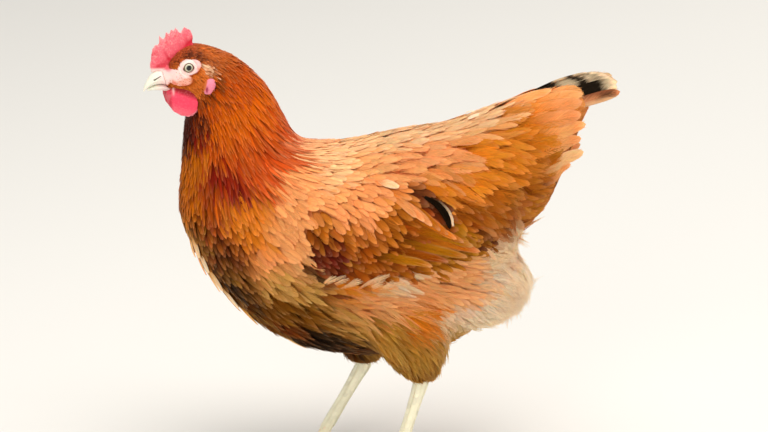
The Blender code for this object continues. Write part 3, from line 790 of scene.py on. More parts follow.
# one piece of coat: roots, paths, sizes and colours from the tables, then the blades
def layCoat(tract):
    rng = np.random.default_rng(tract["seed"])
    table = tract["lie"]
    offset = np.array([0, tract["shift"], 0])

    def spacing(points):
        flat = np.tile([0.0, 0.0, 1.0], (len(points), 1))
        sizes = lieAt(points + offset, flat, table)[1]
        return np.maximum(sizes[:, 1] * tract["spread"], 0.7 * mm)

    roots, normals = scatter(tract["mask"], spacing, tract["seed"], table, offset, tract["stretch"])
    sizes = lieAt(roots + offset, normals, table)[1]
    lengths = sizes[:, 0] * tract["long"] * rng.uniform(0.75, 1.2, len(roots))
    widths = sizes[:, 1] * tract["wide"] * rng.uniform(0.78, 1.2, len(roots))
    depth = sizes[:, 2]
    paths, sides = traced(roots, normals, table, lengths, 5, tract["hug"], tract["jitter"], rng, offset,
                          tract["wander"])
    turning = (sides[:, 1:] * sides[:, :-1]).sum(2).min(1)
    gone = np.linalg.norm(paths[:, -1] - paths[:, 0], axis=1) / lengths
    straight = tract["straight"]  # paths that fold over an edge of the body, or stay short, are left out
    keep = (turning > straight) & (gone > 0.75) & ((sides[:, 0] * sides[:, -1]).sum(1) > straight - 0.35)
    roots, lengths, widths, depth = roots[keep], lengths[keep], widths[keep], depth[keep]
    paths, sides = paths[keep], sides[keep]
    # the root is sunk in the coat's depth, its first third most, and the tip rises, more so on lumps
    share = np.linspace(0, 1, 6)
    sunk = 0.28 * (1 - share) + 0.62 * (1 - np.clip(share / 0.35, 0, 1)) ** 2
    rise = tract["rise"] * mm * (rng.uniform(0.7, 1.3, len(roots)) + 0.8 * np.abs(ripple(roots, 14.0, 4)))
    # the lumps' size and height in millimetres, and the strength of the painted light on them
    lumpSize, lumpHeight, lumpPaintedLight = tract["lumps"]
    lump = ripple(roots, lumpSize, 6)
    rise = rise + np.maximum(lump, -0.3) * lumpHeight * mm
    height = -depth[:, None] * sunk + rise[:, None] * share**1.5
    tilted = turned(sides, unit(np.gradient(paths, axis=1)), rng.normal(0, tract["roll"], len(roots)))
    paths = paths + sides * height[..., None]
    colours = coatColours(tract, paths[:, 4], offset, lump * lumpPaintedLight, rng)
    bend = rng.normal(0, tract["curl"], len(roots)) * lengths
    template = tract["template"]
    shares = -(-len(roots) * template["triangles"] // mostTriangles)
    for number in range(shares):
        some = slice(number * len(roots) // shares, (number + 1) * len(roots) // shares)
        name = tract["name"] + (chr(97 + number) if shares > 1 else "")
        piece = layBlades(
            name, template, paths[some], tilted[some], widths[some], tract["thickness"] * mm, tract["ridge"],
            colours[some], roots[some], tract["axis"], bend[some], streak=tract["streak"],
            soft=tract["soft"],
        )
        dress(piece, tract["finish"])


# finishes


def newFinish(name):
    finish = bpy.data.materials.new(name)
    finish.use_nodes = True
    return finish, finish.node_tree, finish.node_tree.nodes["Principled BSDF"]


# fills a node's sockets, by name or number, with values or with other nodes' sockets
def feed(tree, node, inputs):
    for name, value in inputs.items():
        if isinstance(value, bpy.types.NodeSocket):
            tree.links.new(value, node.inputs[name])
        else:
            node.inputs[name].default_value = value


def put(tree, kind, inputs=None, **settings):
    node = tree.nodes.new("ShaderNode" + kind)
    for name, value in settings.items():
        setattr(node, name, value)
    feed(tree, node, inputs or {})
    return node


def featherFinish(name, roughness, shaftLight, edgeDark, tipLight, barb, under=0.35):
    finish, tree, shader = newFinish(name)
    coat = put(tree, "Attribute", attribute_name="coat")
    split = put(tree, "SeparateXYZ", {0: put(tree, "UVMap", uv_map="vane").outputs["UV"]})
    aside = mathNode(tree, "ABSOLUTE", mathNode(tree, "SUBTRACT", split.outputs["X"], 0.5))
    shaft = rangeNode(tree, aside, 0.0, 0.06, shaftLight, 0.0)
    edge = rangeNode(tree, aside, 0.22, 0.5, 0.0, edgeDark)
    tip = rangeNode(tree, split.outputs["Y"], 0.78, 1.0, 0.0, tipLight)
    # fine streaks that run along the barbs, from the shaft out and forward
    slant = mathNode(tree, "ADD", mathNode(tree, "MULTIPLY", aside, -1.4), split.outputs["Y"])
    streakPlace = put(tree, "CombineXYZ", {
        0: mathNode(tree, "MULTIPLY", slant, 26.0), 1: mathNode(tree, "MULTIPLY", aside, 3.0)})
    spots = {0: put(tree, "TexCoord").outputs["Object"], 1: (60, 60, 60), 2: streakPlace.outputs[0]}
    spread = put(tree, "VectorMath", spots, operation="MULTIPLY_ADD")
    streak = put(tree, "TexNoise", {"Scale": 1.0, "Detail": 3.0, "Vector": spread.outputs[0]})
    streaks = rangeNode(tree, streak.outputs["Fac"], 0.3, 0.7, -0.10, 0.10)
    light = mathNode(tree, "ADD", mathNode(tree, "ADD", shaft, tip), streaks)
    light = mathNode(tree, "ADD", mathNode(tree, "SUBTRACT", light, edge), 1.0)
    colour = put(tree, "VectorMath", {0: coat.outputs["Color"], "Scale": light}, operation="SCALE")
    barbPlace = put(tree, "CombineXYZ", {0: slant}).outputs[0]
    barbs = put(tree, "TexWave", {"Scale": barb, "Distortion": 1.5, "Vector": barbPlace})
    bump = put(tree, "Bump", {"Strength": 0.25, "Distance": 0.0003, "Height": barbs.outputs["Fac"]})
    feed(tree, shader, {
        "Base Color": colour.outputs[0], "Normal": bump.outputs["Normal"], "Roughness": roughness,
        "Specular IOR Level": 0.14, "Specular Tint": (1.0, 0.62, 0.30, 1), "Subsurface Weight": under,
        "Subsurface Radius": (1.0, 0.50, 0.30), "Subsurface Scale": 0.0015,
    })
    return finish


def mathNode(tree, operation, *values):
    return put(tree, "Math", dict(enumerate(values)), operation=operation).outputs[0]


def rangeNode(tree, value, low, high, out0, out1):
    limits = {"Value": value, "From Min": low, "From Max": high, "To Min": out0, "To Max": out1}
    return put(tree, "MapRange", limits, interpolation_type="SMOOTHSTEP").outputs[0]


# where feathers stop: the bare face, and the comb, wattles and lobes

bareEllipses = {  # middle, front and up from between the eyes, and half length and half height
    "lores": (13, -7.5, 9.0, 6.0),
    "jaw": (6.5, -11.5, 10.2, 5.6),
    "beak": (24, -8, 9.0, 14.0),
}
lidEllipse = (-0.6, -0.3, 11.0, 6.6)  # the same, along and over the lids, which slope down to the bill


# 0 on feathered skin, 1 on the bare skin round the eye and in front of it
def bareFace(points):
    side, front, up = inHead(points).T

    def within(along, over, ellipse):
        return np.hypot((along - ellipse[0]) / ellipse[2], (over - ellipse[1]) / ellipse[3])

    face = within(0.94 * front - 0.34 * up, 0.34 * front + 0.94 * up, lidEllipse)
    for ellipse in bareEllipses.values():
        face = np.minimum(face, within(front, up, ellipse))
    return np.clip((1.1 - face) / 0.2, 0, 1)


def feathered(*names):
    def mask(points):
        owners = ownerOf(points)
        return ownedBy(owners, *names) & (bareFace(points) < 0.5)

    return mask


placeCamera()
lightStudio()

contourBlade = leafTemplate("oval", rows=6, barbs=2, leaf=0.99, barbWidth=0.12, sweep=0.42, past=1.04)
lanceBlade = leafTemplate("lance", rows=5, barbs=2, leaf=0.97, barbWidth=0.15, sweep=0.45, slim=8.0)
saddleBlade = leafTemplate("oval", rows=5, barbs=6, leaf=0.86, barbWidth=0.12, sweep=0.46, past=1.14)
lockBlade = tuftTemplate(6, 47, rows=3, thin=0.20, fan=0.8, part=(0.9, -0.7))
looseBlade = leafTemplate("lance", rows=5, barbs=6, leaf=0.75, barbWidth=0.10, sweep=0.50, past=1.22)
wispBlade = tuftTemplate(7, 41, rows=2, thin=0.13)
tinyBlade = leafTemplate("contour", rows=3, tipCrowd=1.2)
bristleBlade = leafTemplate("wisp", rows=3, sides=3, tipCrowd=1.0)

breastFinish = featherFinish("breastVane", 0.6, 0.12, 0.10, 0.08, 9, 0.3)
hackleFinish = featherFinish("hackleVane", 0.45, 0.22, 0.16, 0.10, 12, 0.1)
backFinish = featherFinish("backVane", 0.65, 0.05, -0.04, 0.06, 9, 0.5)
fluffFinish = featherFinish("downVane", 0.8, 0.0, 0.0, 0.06, 5, 0.6)

bodyAxis = ((0, -150, 225), (0, 150, 240))
neckAxis = ((0, -172, 385), (0, -128, 260))
faceAxis = ((0, -200, 365), (0, -140, 365))
fluffAxis = ((0, 60, 160), (0, 140, 160))


def lowTrunk(points):
    height = points[:, 2] / mm + 9 * ripple(points, 16, 8) - np.clip(points[:, 1] / mm + 60, -40, 0) * 0.5
    return height < 192


def wingRoots(side):
    def mask(points):
        return feathered("wing_" + side)(points) & (points[:, 1] > -68 * mm)

    return mask


def fringeRoots(points):
    return feathered("fluff", "rump")(points) & (points[:, 1] > 84 * mm) & (points[:, 2] < 215 * mm)


def upperTrunk(points):
    return feathered("trunk")(points) & ~lowTrunk(points)


def lowerTrunk(points):
    return feathered("trunk")(points) & lowTrunk(points)


# the bare cheek, jaw and lores, where the last small bristles stand, but not the lids
def bristled(points):
    side, front, up = inHead(points).T
    bare = ownedBy(ownerOf(points), "head") & (bareFace(points) > 0.05)
    return bare & (np.hypot(front, up) > 9.5) & (front < 12 + 6 * (up < -12))


# spread, wide and long multiply the lie's sizes; thickness and rise are in millimetres
plainCoat = dict(
    stretch=1.0, spread=0.50, long=1.05, wide=1.0, thickness=0.15, ridge=0.06, hug=0.95, jitter=0.16,
    wander=0.25, rise=0.3, lumps=(14, 0.5, 0.0), curl=0.04, roll=0.08, straight=0.55, shift=0.0,
    lie=bodyLies, axis=bodyAxis, markings=bodyTable, mottle=4.0, vary=0.14, tinge=0.0, rootShade=0.72,
    fade=(0.2, 0.8), pale=0.05, streak=0.05, soft=0.45,
)
rust = dict(plainCoat, slot="plumage_rust", finish=hackleFinish)
buff = dict(plainCoat, slot="plumage_buff", template=saddleBlade, finish=backFinish, fade=(0.3, 0.85))
down = dict(
    plainCoat, slot="plumage_cream", template=lockBlade, finish=fluffFinish, ridge=0.1, wander=0.5,
    soft=0.6,
)
vane = dict(template=contourBlade, finish=breastFinish, straight=0.85, roll=0.12)
thigh = dict(
    down, long=1.35, wide=1.15, thickness=0.35, hug=0.80, jitter=0.18, rise=2.0, curl=0.08, vary=0.16,
    wander=0.35, streak=0.10, lumps=(15, 4.0, 0.5), rootShade=0.85, stretch=1.6, tinge=0.12, fade=(0.3, 0.9),
)
covert = dict(
    buff, spread=0.40, wide=0.76, hug=0.92, jitter=0.20, rise=0.45, curl=0.03, vary=0.13, lie=wingLies,
    markings=wingTable, rootShade=0.62, stretch=1.6, fade=(0.42, 0.95), tinge=0.18, soft=0.55, **vane,
)
tracts = (
    dict(rust, name="head_feathers", mask=feathered("head"), template=tinyBlade, spread=0.55, long=1.0,
         thickness=0.12, ridge=0.15, hug=1.0, jitter=0.12, curl=0.02, vary=0.13, seed=21,
         axis=faceAxis, mottle=1.2),
    dict(rust, name="neck_hackles", mask=feathered("neck"), template=lanceBlade, spread=0.62,
         long=1.15, thickness=0.12, ridge=0.2, jitter=0.10, rise=0.8, vary=0.12, mottle=5.5, pale=0.04,
         rootShade=0.9, wander=0.12, seed=22, axis=neckAxis, soft=0.55),
    dict(rust, name="breast_feathers", mask=feathered("breast"), spread=0.44, wide=0.86, curl=0.03,
         vary=0.15, rootShade=0.42, seed=23, stretch=1.7, fade=(0.42, 0.92), tinge=0.15, soft=0.6) | vane,
    dict(buff, name="back_feathers", mask=upperTrunk, spread=0.44, long=1.0, wide=0.86, thickness=0.14,
         ridge=0.05, jitter=0.26, seed=24, rootShade=0.9, stretch=1.7, tinge=0.20, straight=0.85, roll=0.12,
         soft=0.8),
    dict(buff, name="flank_feathers", mask=lowerTrunk, template=looseBlade, finish=fluffFinish,
         spread=0.55, long=1.35, wide=1.1, thickness=0.25, ridge=0.08, hug=0.94, jitter=0.22, rise=0.7,
         curl=0.06, vary=0.13, rootShade=0.7, lumps=(15, 2.0, 0.3), mottle=5.0, seed=34, stretch=1.6,
         fade=(0.4, 0.95), tinge=0.14, soft=0.6),
    dict(buff, name="saddle_feathers", mask=feathered("rump"), spread=0.54, wide=1.02, thickness=0.14,
         hug=0.94, jitter=0.30, rise=0.5, curl=0.05, wander=0.4, seed=25, rootShade=0.85, stretch=1.6,
         tinge=0.16, roll=0.14, lumps=(20, 1.5, 0.25), soft=0.75),
    dict(buff, name="tail_coverts", mask=feathered("tail_base"), long=1.1, wide=1.05, thickness=0.2,
         ridge=0.08, hug=0.85, jitter=0.10, rise=0.4, vary=0.10, seed=26,
         axis=((0, 110, 290), (0, 180, 300)), stretch=1.4, rootShade=0.78, tinge=0.12, soft=0.5),
    dict(down, name="vent_fluff", mask=feathered("fluff"), spread=0.58, long=1.3, wide=1.25,
         thickness=0.35, hug=0.62, jitter=0.22, rise=2.6, curl=0.12, vary=0.10, streak=0.08, seed=27,
         axis=fluffAxis, lumps=(17, 5.0, 0.7), rootShade=1.0, stretch=1.5, tinge=0.08, fade=(0.3, 0.9)),
    dict(down, name="down_fringe", mask=fringeRoots, template=wispBlade, spread=0.72, long=1.3,
         wide=1.6, thickness=0.3, hug=0.08, jitter=0.35, rise=2.0, curl=0.15, vary=0.10, streak=0.06,
         seed=37, axis=fluffAxis, rootShade=0.9, pale=0.7),
    dict(thigh, name="thigh_feathers_left", mask=feathered("thigh_left"), seed=28,
         axis=((44, 15, 180), (44, 20, 90))),
    dict(thigh, name="thigh_feathers_right", mask=feathered("thigh_right"), seed=29, shift=thighStep,
         axis=((-44, -10, 180), (-44, -12, 90))),
    dict(covert, name="wing_coverts_left", mask=wingRoots("left"), seed=30),
    dict(covert, name="wing_coverts_right", mask=wingRoots("right"), seed=31),
    dict(rust, name="face_bristles", mask=bristled, template=bristleBlade, spread=1.15, long=0.5,
         wide=0.3, ridge=0.5, hug=0.9, jitter=0.35, rise=0.7, curl=0.06, vary=0.2, mottle=2.0, seed=33,
         axis=faceAxis),
)
for tract in tracts:
    layCoat(tract)

# skin: one surface over all the flesh, finest on the head and feet

headAxes = np.array([headLeft, headFront, (0, 0, 1)])
lids = {"opening": 4.25, "reach": 11.0}

faceColours = {
    "comb": (236, 96, 112), "combPale": (252, 176, 172), "combDeep": (206, 30, 52),
    "wattle": (250, 66, 96), "wattleDeep": (140, 2, 12), "wattlePale": (252, 140, 150),
    "lid": (250, 222, 214), "lidPink": (248, 192, 188), "lore": (250, 214, 208), "jaw": (246, 176, 156),
    "jawRed": (242, 142, 120), "cheekSkin": (206, 108, 52), "lobe": (238, 136, 158),
    "lobePit": (150, 14, 56), "lidLine": (96, 70, 54), "leg": (248, 240, 210), "legPink": (230, 176, 148),
    "sole": (214, 190, 140),
}
faceMarkings = {  # left, front and up from between the eyes, and reach
    "lid": ((14, 9, -4, 3), (16, 0, 6, 3), (15, 6, 3, 3), (14, 3, -8, 3), (8, 20, -9, 4)),
    "lore": ((13, 13, -5, 3), (13, 9, -10, 3), (6, 21, -5, 3), (8, 17, -13, 3)),
    "lidPink": ((15, -10, 4, 4), (16, -6, -5, 3)),
    "jaw": ((14, 2, -12, 4), (13, 8, -14, 3)),
    "jawRed": ((11, 12, -16, 3), (13, 3, -17, 3), (6, 14, -20, 4), (0, 16, -24, 5)),
    "cheekSkin": ((16, -6, -13, 4), (18, -14, -4, 5), (14, -4, -22, 6)),
    "comb": ((6, 20, 0, 4), (7, 14, 4, 4)),
}


# cuts the edges longer than limit millimetres between the chosen points, once
def finer(obj, chosen, limit):
    bm = bmesh.new()
    bm.from_mesh(obj.data)
    edges = [e for e in bm.edges if chosen[e.verts[0].index] and chosen[e.verts[1].index]
             and e.calc_length() > limit * mm]
    bmesh.ops.subdivide_edges(bm, edges=edges, cuts=1, use_grid_fill=False)
    bmesh.ops.triangulate(bm, faces=[face for face in bm.faces if len(face.verts) > 3])
    bm.to_mesh(obj.data)
    bm.free()


flesh = {"swell": 0.25, "voxel": 1.1, "softened": 2, "kept": 0.22, "heavy": 50}
bm = gathered(fleshNodes + ["eye_left", "eye_right"], flesh["swell"] * mm)
skin = remeshed("skin", bm, flesh["voxel"] * mm, 0, notComb, flesh["softened"])
places = readVectors(skin.data.vertices)
local = inHead(places)
onHead = (local[:, 1] > -27) & (local[:, 2] > -48)
fine = onHead | (places[:, 2] < 84 * mm)
addGroup(skin, "coarse", 1 - fine)
fewer = skin.modifiers.new("fewer", "DECIMATE")
fewer.vertex_group = "coarse"
fewer.vertex_group_factor = flesh["heavy"]
fewer.ratio = flesh["kept"]
applyModifiers(skin)
print("skin reduced", len(skin.data.polygons))
local = inHead(readVectors(skin.data.vertices))
finer(skin, (local[:, 1] > -15) & (local[:, 2] > -48), 0.75)
for reach, limit in ((10.5, 0.4), (6.0, 0.2)):
    local = inHead(readVectors(skin.data.vertices))
    finer(skin, np.hypot(local[:, 1], local[:, 2]) < reach, limit)
skin.vertex_groups.clear()
addGroup(skin, "even", notComb(readVectors(skin.data.vertices)) > 0.5)
soften(skin, 0.5, 2, "even")
applyModifiers(skin)

places = readVectors(skin.data.vertices)
normals = readVectors(skin.data.vertices, "normal")
owners = ownerOf(places)
local = inHead(places)
facing = np.abs(normals @ headAxes[0])
bare = bareFace(places)
onComb, onWattle = ownedBy(owners, "comb"), ownedBy(owners, "wattle_left", "wattle_right")
onLobe = ownedBy(owners, "ear_lobe_left", "ear_lobe_right")
onLeg = ownedBy(owners, *legNodes)
plumed = ownedBy(owners, *featheredNodes) & (bare < 0.5)

# colours
# painted shade: the skin under the coat takes the plumage markings a little deeper and darker
colours = colourAt(places, bodyTable) ** 1.1 * 0.95
leftward, forward, upward = local.T
mirrored = np.stack([np.abs(leftward), forward, upward], 1)
faceColour = blended(mirrored, markingTable(faceMarkings, faceColours), **faceBlend)
flecks, blotches = np.zeros(len(places)), np.zeros(len(places))
flecks[~plumed], blotches[~plumed] = ripple(places[~plumed], 1.1, 1), ripple(places[~plumed], 5.0, 2)
colours = mix(colours, faceColour, bare[:, None])


def tone(name):
    return linear(faceColours[name])[None]


def mixed(base, name, amount):
    return mix(base, tone(name), np.clip(amount, 0, 1)[:, None])


rim = 1 - step(facing, 0.45, 0.9)
base = upward - 16.5 + 0.79 * forward  # how far up from where the comb leaves the skull
comb = mixed(tone("comb"), "combPale", 0.42 * step(base, 6, 26) + 0.7 * rim + 0.6 * flecks)
comb = mixed(comb, "combDeep", 0.5 * step(-blotches, 0.1, 0.6) + 0.7 * (1 - step(base, 0, 7)))
comb = mixed(comb, "lore", (1 - step(upward, -4, -1)) * step(forward, 12, 15))
hung = upward - 0.35 * forward
# painted shadow: the wattle's top darker under the jaw
wattle = mixed(tone("wattle"), "wattleDeep", step(hung, -29.5, -23))
disc = np.hypot((forward - 4.8) / 14, (upward + 32.8) / 12.8)
paleRim = 0.8 * step(disc, 0.84, 0.95) * step(-hung, 27, 33) + 0.4 * step(-hung, 34, 44)
wattle = mixed(wattle, "wattlePale", paleRim + 0.3 * flecks)
wattle = mixed(wattle, "wattleDeep", 0.5 * step(forward, 13.4, 16.0))
wattle = mixed(wattle, "lore", 0.55 * np.exp(-((forward - 13.2) / 1.0) ** 2) * step(upward, -27, -22))
# painted shade: the lobe's pit darker
pit = np.hypot((forward + 14.6) * 1.2, (upward + 19.5) * 0.6)
lobe = mixed(tone("lobe"), "lobePit", 0.9 * (1 - step(pit, 0.8, 2.4)))
front = forward + 11.8 + 0.31 * (upward + 23.7)
lobe = mixed(lobe, "cheekSkin", step(front, -0.4, 0.5))
leg = mixed(tone("leg"), "legPink", 0.5 * step(blotches, 0.0, 0.6))
leg = mixed(leg, "sole", step(-places[:, 2] / mm, -4, -1))
for chosen, value in ((onComb, comb), (onWattle, wattle), (onLobe, lobe), (onLeg, leg)):
    colours[chosen] = value[chosen]

# the lids: a margin round the eye, fine folds, a groove and a soft outer fold
around = np.hypot(forward, upward)
angle = np.arctan2(upward, forward)
corner = np.maximum(np.cos(angle + 0.35), 0) ** 10 * 0.9 + np.maximum(-np.cos(angle - 0.1), 0) ** 10 * 0.5
opening = lids["opening"] + corner
beside = (np.abs(leftward) > 5) & (around < lids["reach"]) & ~plumed
wave = np.sin((around - opening) * 2 * math.pi / 1.05 + 0.8 * np.sin(angle * 3))
lift = -1.5 + 2.15 * step(around - opening, -0.30, 0.12)
lift = np.where(around > opening + 0.12, 0.65 - 0.55 * step(around - opening, 0.12, 2.9), lift)
lift += 0.13 * wave * step(around - opening, 0.3, 0.7) * (1 - step(around, 6.6, 7.2))
lift -= 0.35 * np.exp(-((around - 7.3) / 0.45) ** 2)
lift += 0.32 * np.exp(-((around - 8.7) / 0.8) ** 2) * (1 - step(around, 9.6, 11))
outward = np.sign(leftward)[:, None] * headAxes[0][None]
places[beside] += (outward * lift[:, None] * mm)[beside]
edge = np.exp(-((around - opening) / 0.28) ** 2)
ringPale = (1 - step(around, 6.2, 8.2)) * step(around - opening, 0.1, 0.6)
colours[beside] = mixed(colours, "lid", ringPale * 0.8)[beside]
colours[beside] = mixed(colours, "lidPink", 0.5 * step(-wave, 0.3, 1.0) * (1 - step(around, 6.6, 8)))[beside]
colours[beside] = mixed(colours, "lidLine", edge * 0.55)[beside]

# grain: flecks and blotches of the bare skin in millimetres, and the pit of the lobes
face = (bare > 0.3) & ~beside & ~onComb & ~onWattle & ~onLobe & ~plumed
grain = np.zeros(len(places))
grains = ((onComb, 0.30, 0.35), (onWattle, 0.12, 0.3), (onLobe, 0.15, 0), (face, 0.14, 0.1))
for chosen, fleck, blotch in grains:
    grain[chosen] = (fleck * flecks + blotch * blotches)[chosen]
grain[onLobe] -= 0.9 * (1 - step(pit, 0.8, 3.0))[onLobe]
places += normals * grain[:, None] * mm

# under the coat the skin lies its depth below
where, normal = outer.nearest(places[plumed])
sizes = lieAt(where, normal, bodyLies)[1]
places[plumed] = where - normal * sizes[:, 2:3]
setVerts(skin.data, places)
skin.data.shade_smooth()
paintPoints(skin.data, colours)


# bare skin: its colour from the vertices, a fine grain, and light that passes a little way under it
def fleshFinish(name, roughness, grainSize, strength, under, coat=0.0):
    finish, tree, shader = newFinish(name)
    colour = put(tree, "Attribute", attribute_name="coat").outputs["Color"]
    place = put(tree, "TexCoord").outputs["Object"]
    speckle = put(tree, "TexVoronoi", {"Scale": 1000 / grainSize, "Vector": place}).outputs["Distance"]
    bump = put(tree, "Bump", {"Strength": strength, "Distance": 0.0004, "Height": speckle}, invert=True)
    feed(tree, shader, {
        "Base Color": colour, "Normal": bump.outputs["Normal"], "Roughness": roughness,
        "Specular IOR Level": 0.22, "Subsurface Weight": under, "Subsurface Radius": (1.0, 0.3, 0.2),
        "Subsurface Scale": 0.0012, "Coat Weight": coat,
    })
    return finish


for settings in (("downySkin", 0.7, 1.2, 0.2, 0.0), ("redSkin", 0.5, 0.9, 0.6, 0.12, 0.03),
                 ("faceSkin", 0.5, 0.7, 0.35, 0.2), ("legSkin", 0.45, 1.5, 0.4, 0.08)):
    skin.data.materials.append(fleshFinish(*settings))
kind = np.select([onComb | onWattle | onLobe, onLeg, plumed], [1, 3, 0], 2)
corners, starts = readAll(skin.data.loops, "vertex_index"), readAll(skin.data.polygons, "loop_start")
writeAll(skin.data.polygons, "material_index", kind[corners[starts]], np.int32)
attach(skin, "root")
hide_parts(*fleshNodes)
print("skin", len(places), "points", len(skin.data.polygons), "faces")

# eyes, their sizes in millimetres

globe = {"radius": 6.75, "cornea": 4.4, "bulge": 0.75}


# a globe with a low cornea, its pupil and iris told by the distance from the eye's own axis
def eyeball(name, centre, side):
    bm = bmesh.new()
    bmesh.ops.create_uvsphere(bm, u_segments=64, v_segments=48, radius=globe["radius"] * mm)
    axis = headLeft * side
    turn = axis.to_track_quat("Z", "Y").to_matrix()
    layer = bm.loops.layers.uv.new("iris")
    for vert in bm.verts:
        flat = math.hypot(vert.co.x, vert.co.y) / mm
        if vert.co.z > 0 and flat < globe["cornea"]:
            vert.co.z += globe["bulge"] * (1 - (flat / globe["cornea"]) ** 2) * mm
    for face in bm.faces:
        for loop in face.loops:
            at = loop.vert.co
            flat = math.hypot(at.x, at.y) / mm
            loop[layer].uv = (flat / 10 if at.z > 0 else 0.9, 0.5)
    bmesh.ops.transform(bm, matrix=Matrix.Translation(centre) @ turn.to_4x4(), verts=bm.verts)
    obj = meshObject(name, bm)
    obj.data.shade_smooth()
    dress(obj, eyeFinish)
    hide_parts(name.replace("globe", "eye"))


eyeFinish, tree, shader = newFinish("eyeFinish")
iris = put(tree, "SeparateXYZ", {0: put(tree, "UVMap", uv_map="iris").outputs["UV"]}).outputs["X"]
place = put(tree, "TexCoord").outputs["Object"]
threads = put(tree, "TexNoise", {"Scale": 1400, "Vector": place}).outputs["Fac"]
threads = mathNode(tree, "MULTIPLY", mathNode(tree, "SUBTRACT", threads, 0.5), 0.06)
ramp = put(tree, "ValToRGB", {"Fac": mathNode(tree, "ADD", iris, threads)})
stops = (  # pupil, iris and the rim round it, by the distance from the eye's axis
    (0.0, (6, 5, 6)), (0.205, (6, 5, 6)), (0.225, (92, 88, 70)), (0.26, (196, 194, 172)),
    (0.33, (206, 202, 176)), (0.365, (150, 132, 96)), (0.39, (70, 52, 36)), (0.42, (120, 92, 66)),
    (1.0, (196, 160, 130)),
)
ramp.color_ramp.elements[0].position = stops[0][0]
ramp.color_ramp.elements[1].position = stops[-1][0]
for position, colour in stops[1:-1]:
    ramp.color_ramp.elements.new(position)
for element, (position, colour) in zip(ramp.color_ramp.elements, stops):
    element.position = position
    element.color = (*linear(colour), 1)
feed(tree, shader, {
    "Base Color": ramp.outputs["Color"], "Roughness": 0.3, "Specular IOR Level": 0.2, "Coat Weight": 0.6,
    "Coat Roughness": 0.03,
})
eyeball("globe_left", eyeLeft, 1)
eyeball("globe_right", eyeRight, -1)

# bill: the CAD shapes with soft edges, a nostril under its flap and a warmer base

billFinish = fleshFinish("billHorn", 0.34, 2.2, 0.08, 0.12, 0.25)


# a rounded copy of a CAD node
def softCopy(name, node, voxel, smooth, swell=0.0):
    obj = remeshed(name, gathered([node], swell * mm), voxel * mm, smooth)
    obj.data.shade_smooth()
    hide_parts(node)
    return obj


slitStart, slitEnd = np.array([29.0, -12.2]), np.array([23.6, -8.9])  # the nostril, front and up
for half in ("upper", "lower"):
    bill = softCopy("beak_" + half, "bill_" + half, 0.42, 6, 0.12)
    places = readVectors(bill.data.vertices)
    local = inHead(places)
    slit = slitEnd - slitStart
    along = np.clip(((local[:, 1:] - slitStart) @ slit) / (slit @ slit), 0, 1)
    away = np.linalg.norm(local[:, 1:] - slitStart - along[:, None] * slit, axis=1) * (0.8 + 0.9 * along)
    sides = (np.abs(local[:, 0]) > 1.5) & (half == "upper")
    dent = -0.9 * (1 - step(away, 0.35, 0.95)) + 0.35 * np.exp(-((away - 1.25) / 0.4) ** 2)
    places += np.where(sides, dent, 0)[:, None] * mm * np.sign(local[:, :1]) * headAxes[0][None]
    setVerts(bill.data, places)
    tipShare = step(local[:, 1], 20, 30)[:, None]
    colours = mix(linear((244, 214, 208)), linear((240, 238, 220)), tipShare)
    colours = colours * (1 + 0.05 * ripple(places, 4.0, 5)[:, None])
    # painted shade inside the nostril's slit
    colours = mix(colours, linear((48, 26, 24)), ((1 - step(away, 0.2, 0.7)) * sides)[:, None])
    paintPoints(bill.data, colours)
    dress(bill, billFinish)

# claws
toes = ("inner", "middle", "outer", "hind")
clawFinish = fleshFinish("clawHorn", 0.4, 2.0, 0.08, 0.05, 0.2)
for toe in toes:
    for side in ("left", "right"):
        claw = softCopy("nail_" + toe + "_" + side, "claw_" + toe + "_" + side, 0.35, 3, 0.1)
        places = readVectors(claw.data.vertices)
        low, high = places.min(0), places.max(0)
        foot = middleOf("foot_" + side)
        inward = np.array(((foot.x, foot.y) - (low + high)[:2] / 2).tolist() + [0.0])
        inward /= np.linalg.norm(inward)
        along = (places - (low + high) / 2) @ inward
        setVerts(claw.data, places + np.outer(1.8 * mm * np.maximum(along, 0) / along.max(), inward))
        share = ((places - low) / np.maximum(high - low, 1e-6))[:, 2:3]
        paintPoints(claw.data, mix(linear((232, 222, 190)), linear((206, 186, 150)), share))
        dress(claw, clawFinish)

# scales on the shanks and toes

legObj = remeshed("legs", gathered(legNodes, 0.25 * mm), 1.0 * mm, 2)
legSurface = Surface(legObj)
bpy.data.objects.remove(legObj)
plateBlade = leafTemplate("plate", rows=3, sides=6, tipCrowd=1.6)
scaleFinish = fleshFinish("scaleHorn", 0.38, 2.5, 0.1, 0.08, 0.15)


scaleColumns = (  # turn from the shank's front in degrees, width and pitch in millimetres
    (-24, 6.2, 4.6), (24, 6.2, 4.6), (72, 4.6, 3.6), (-72, 4.6, 3.6), (115, 4.4, 3.4), (-115, 4.4, 3.4),
    (160, 5.0, 4.0), (-160, 5.0, 4.0),
)
plates = {"top": 88, "bottom": 22, "overlap": 1.45, "lostAt": 9, "steepest": 3}
toePlates = {"start": 6, "end": 3.5, "pitch": 3.4, "width": 5.6, "taper": 1.6}
scaleLifts = [(-0.28 + 0.34 * part / 5) * mm for part in range(6)]  # sunk at the root, raised at the tip


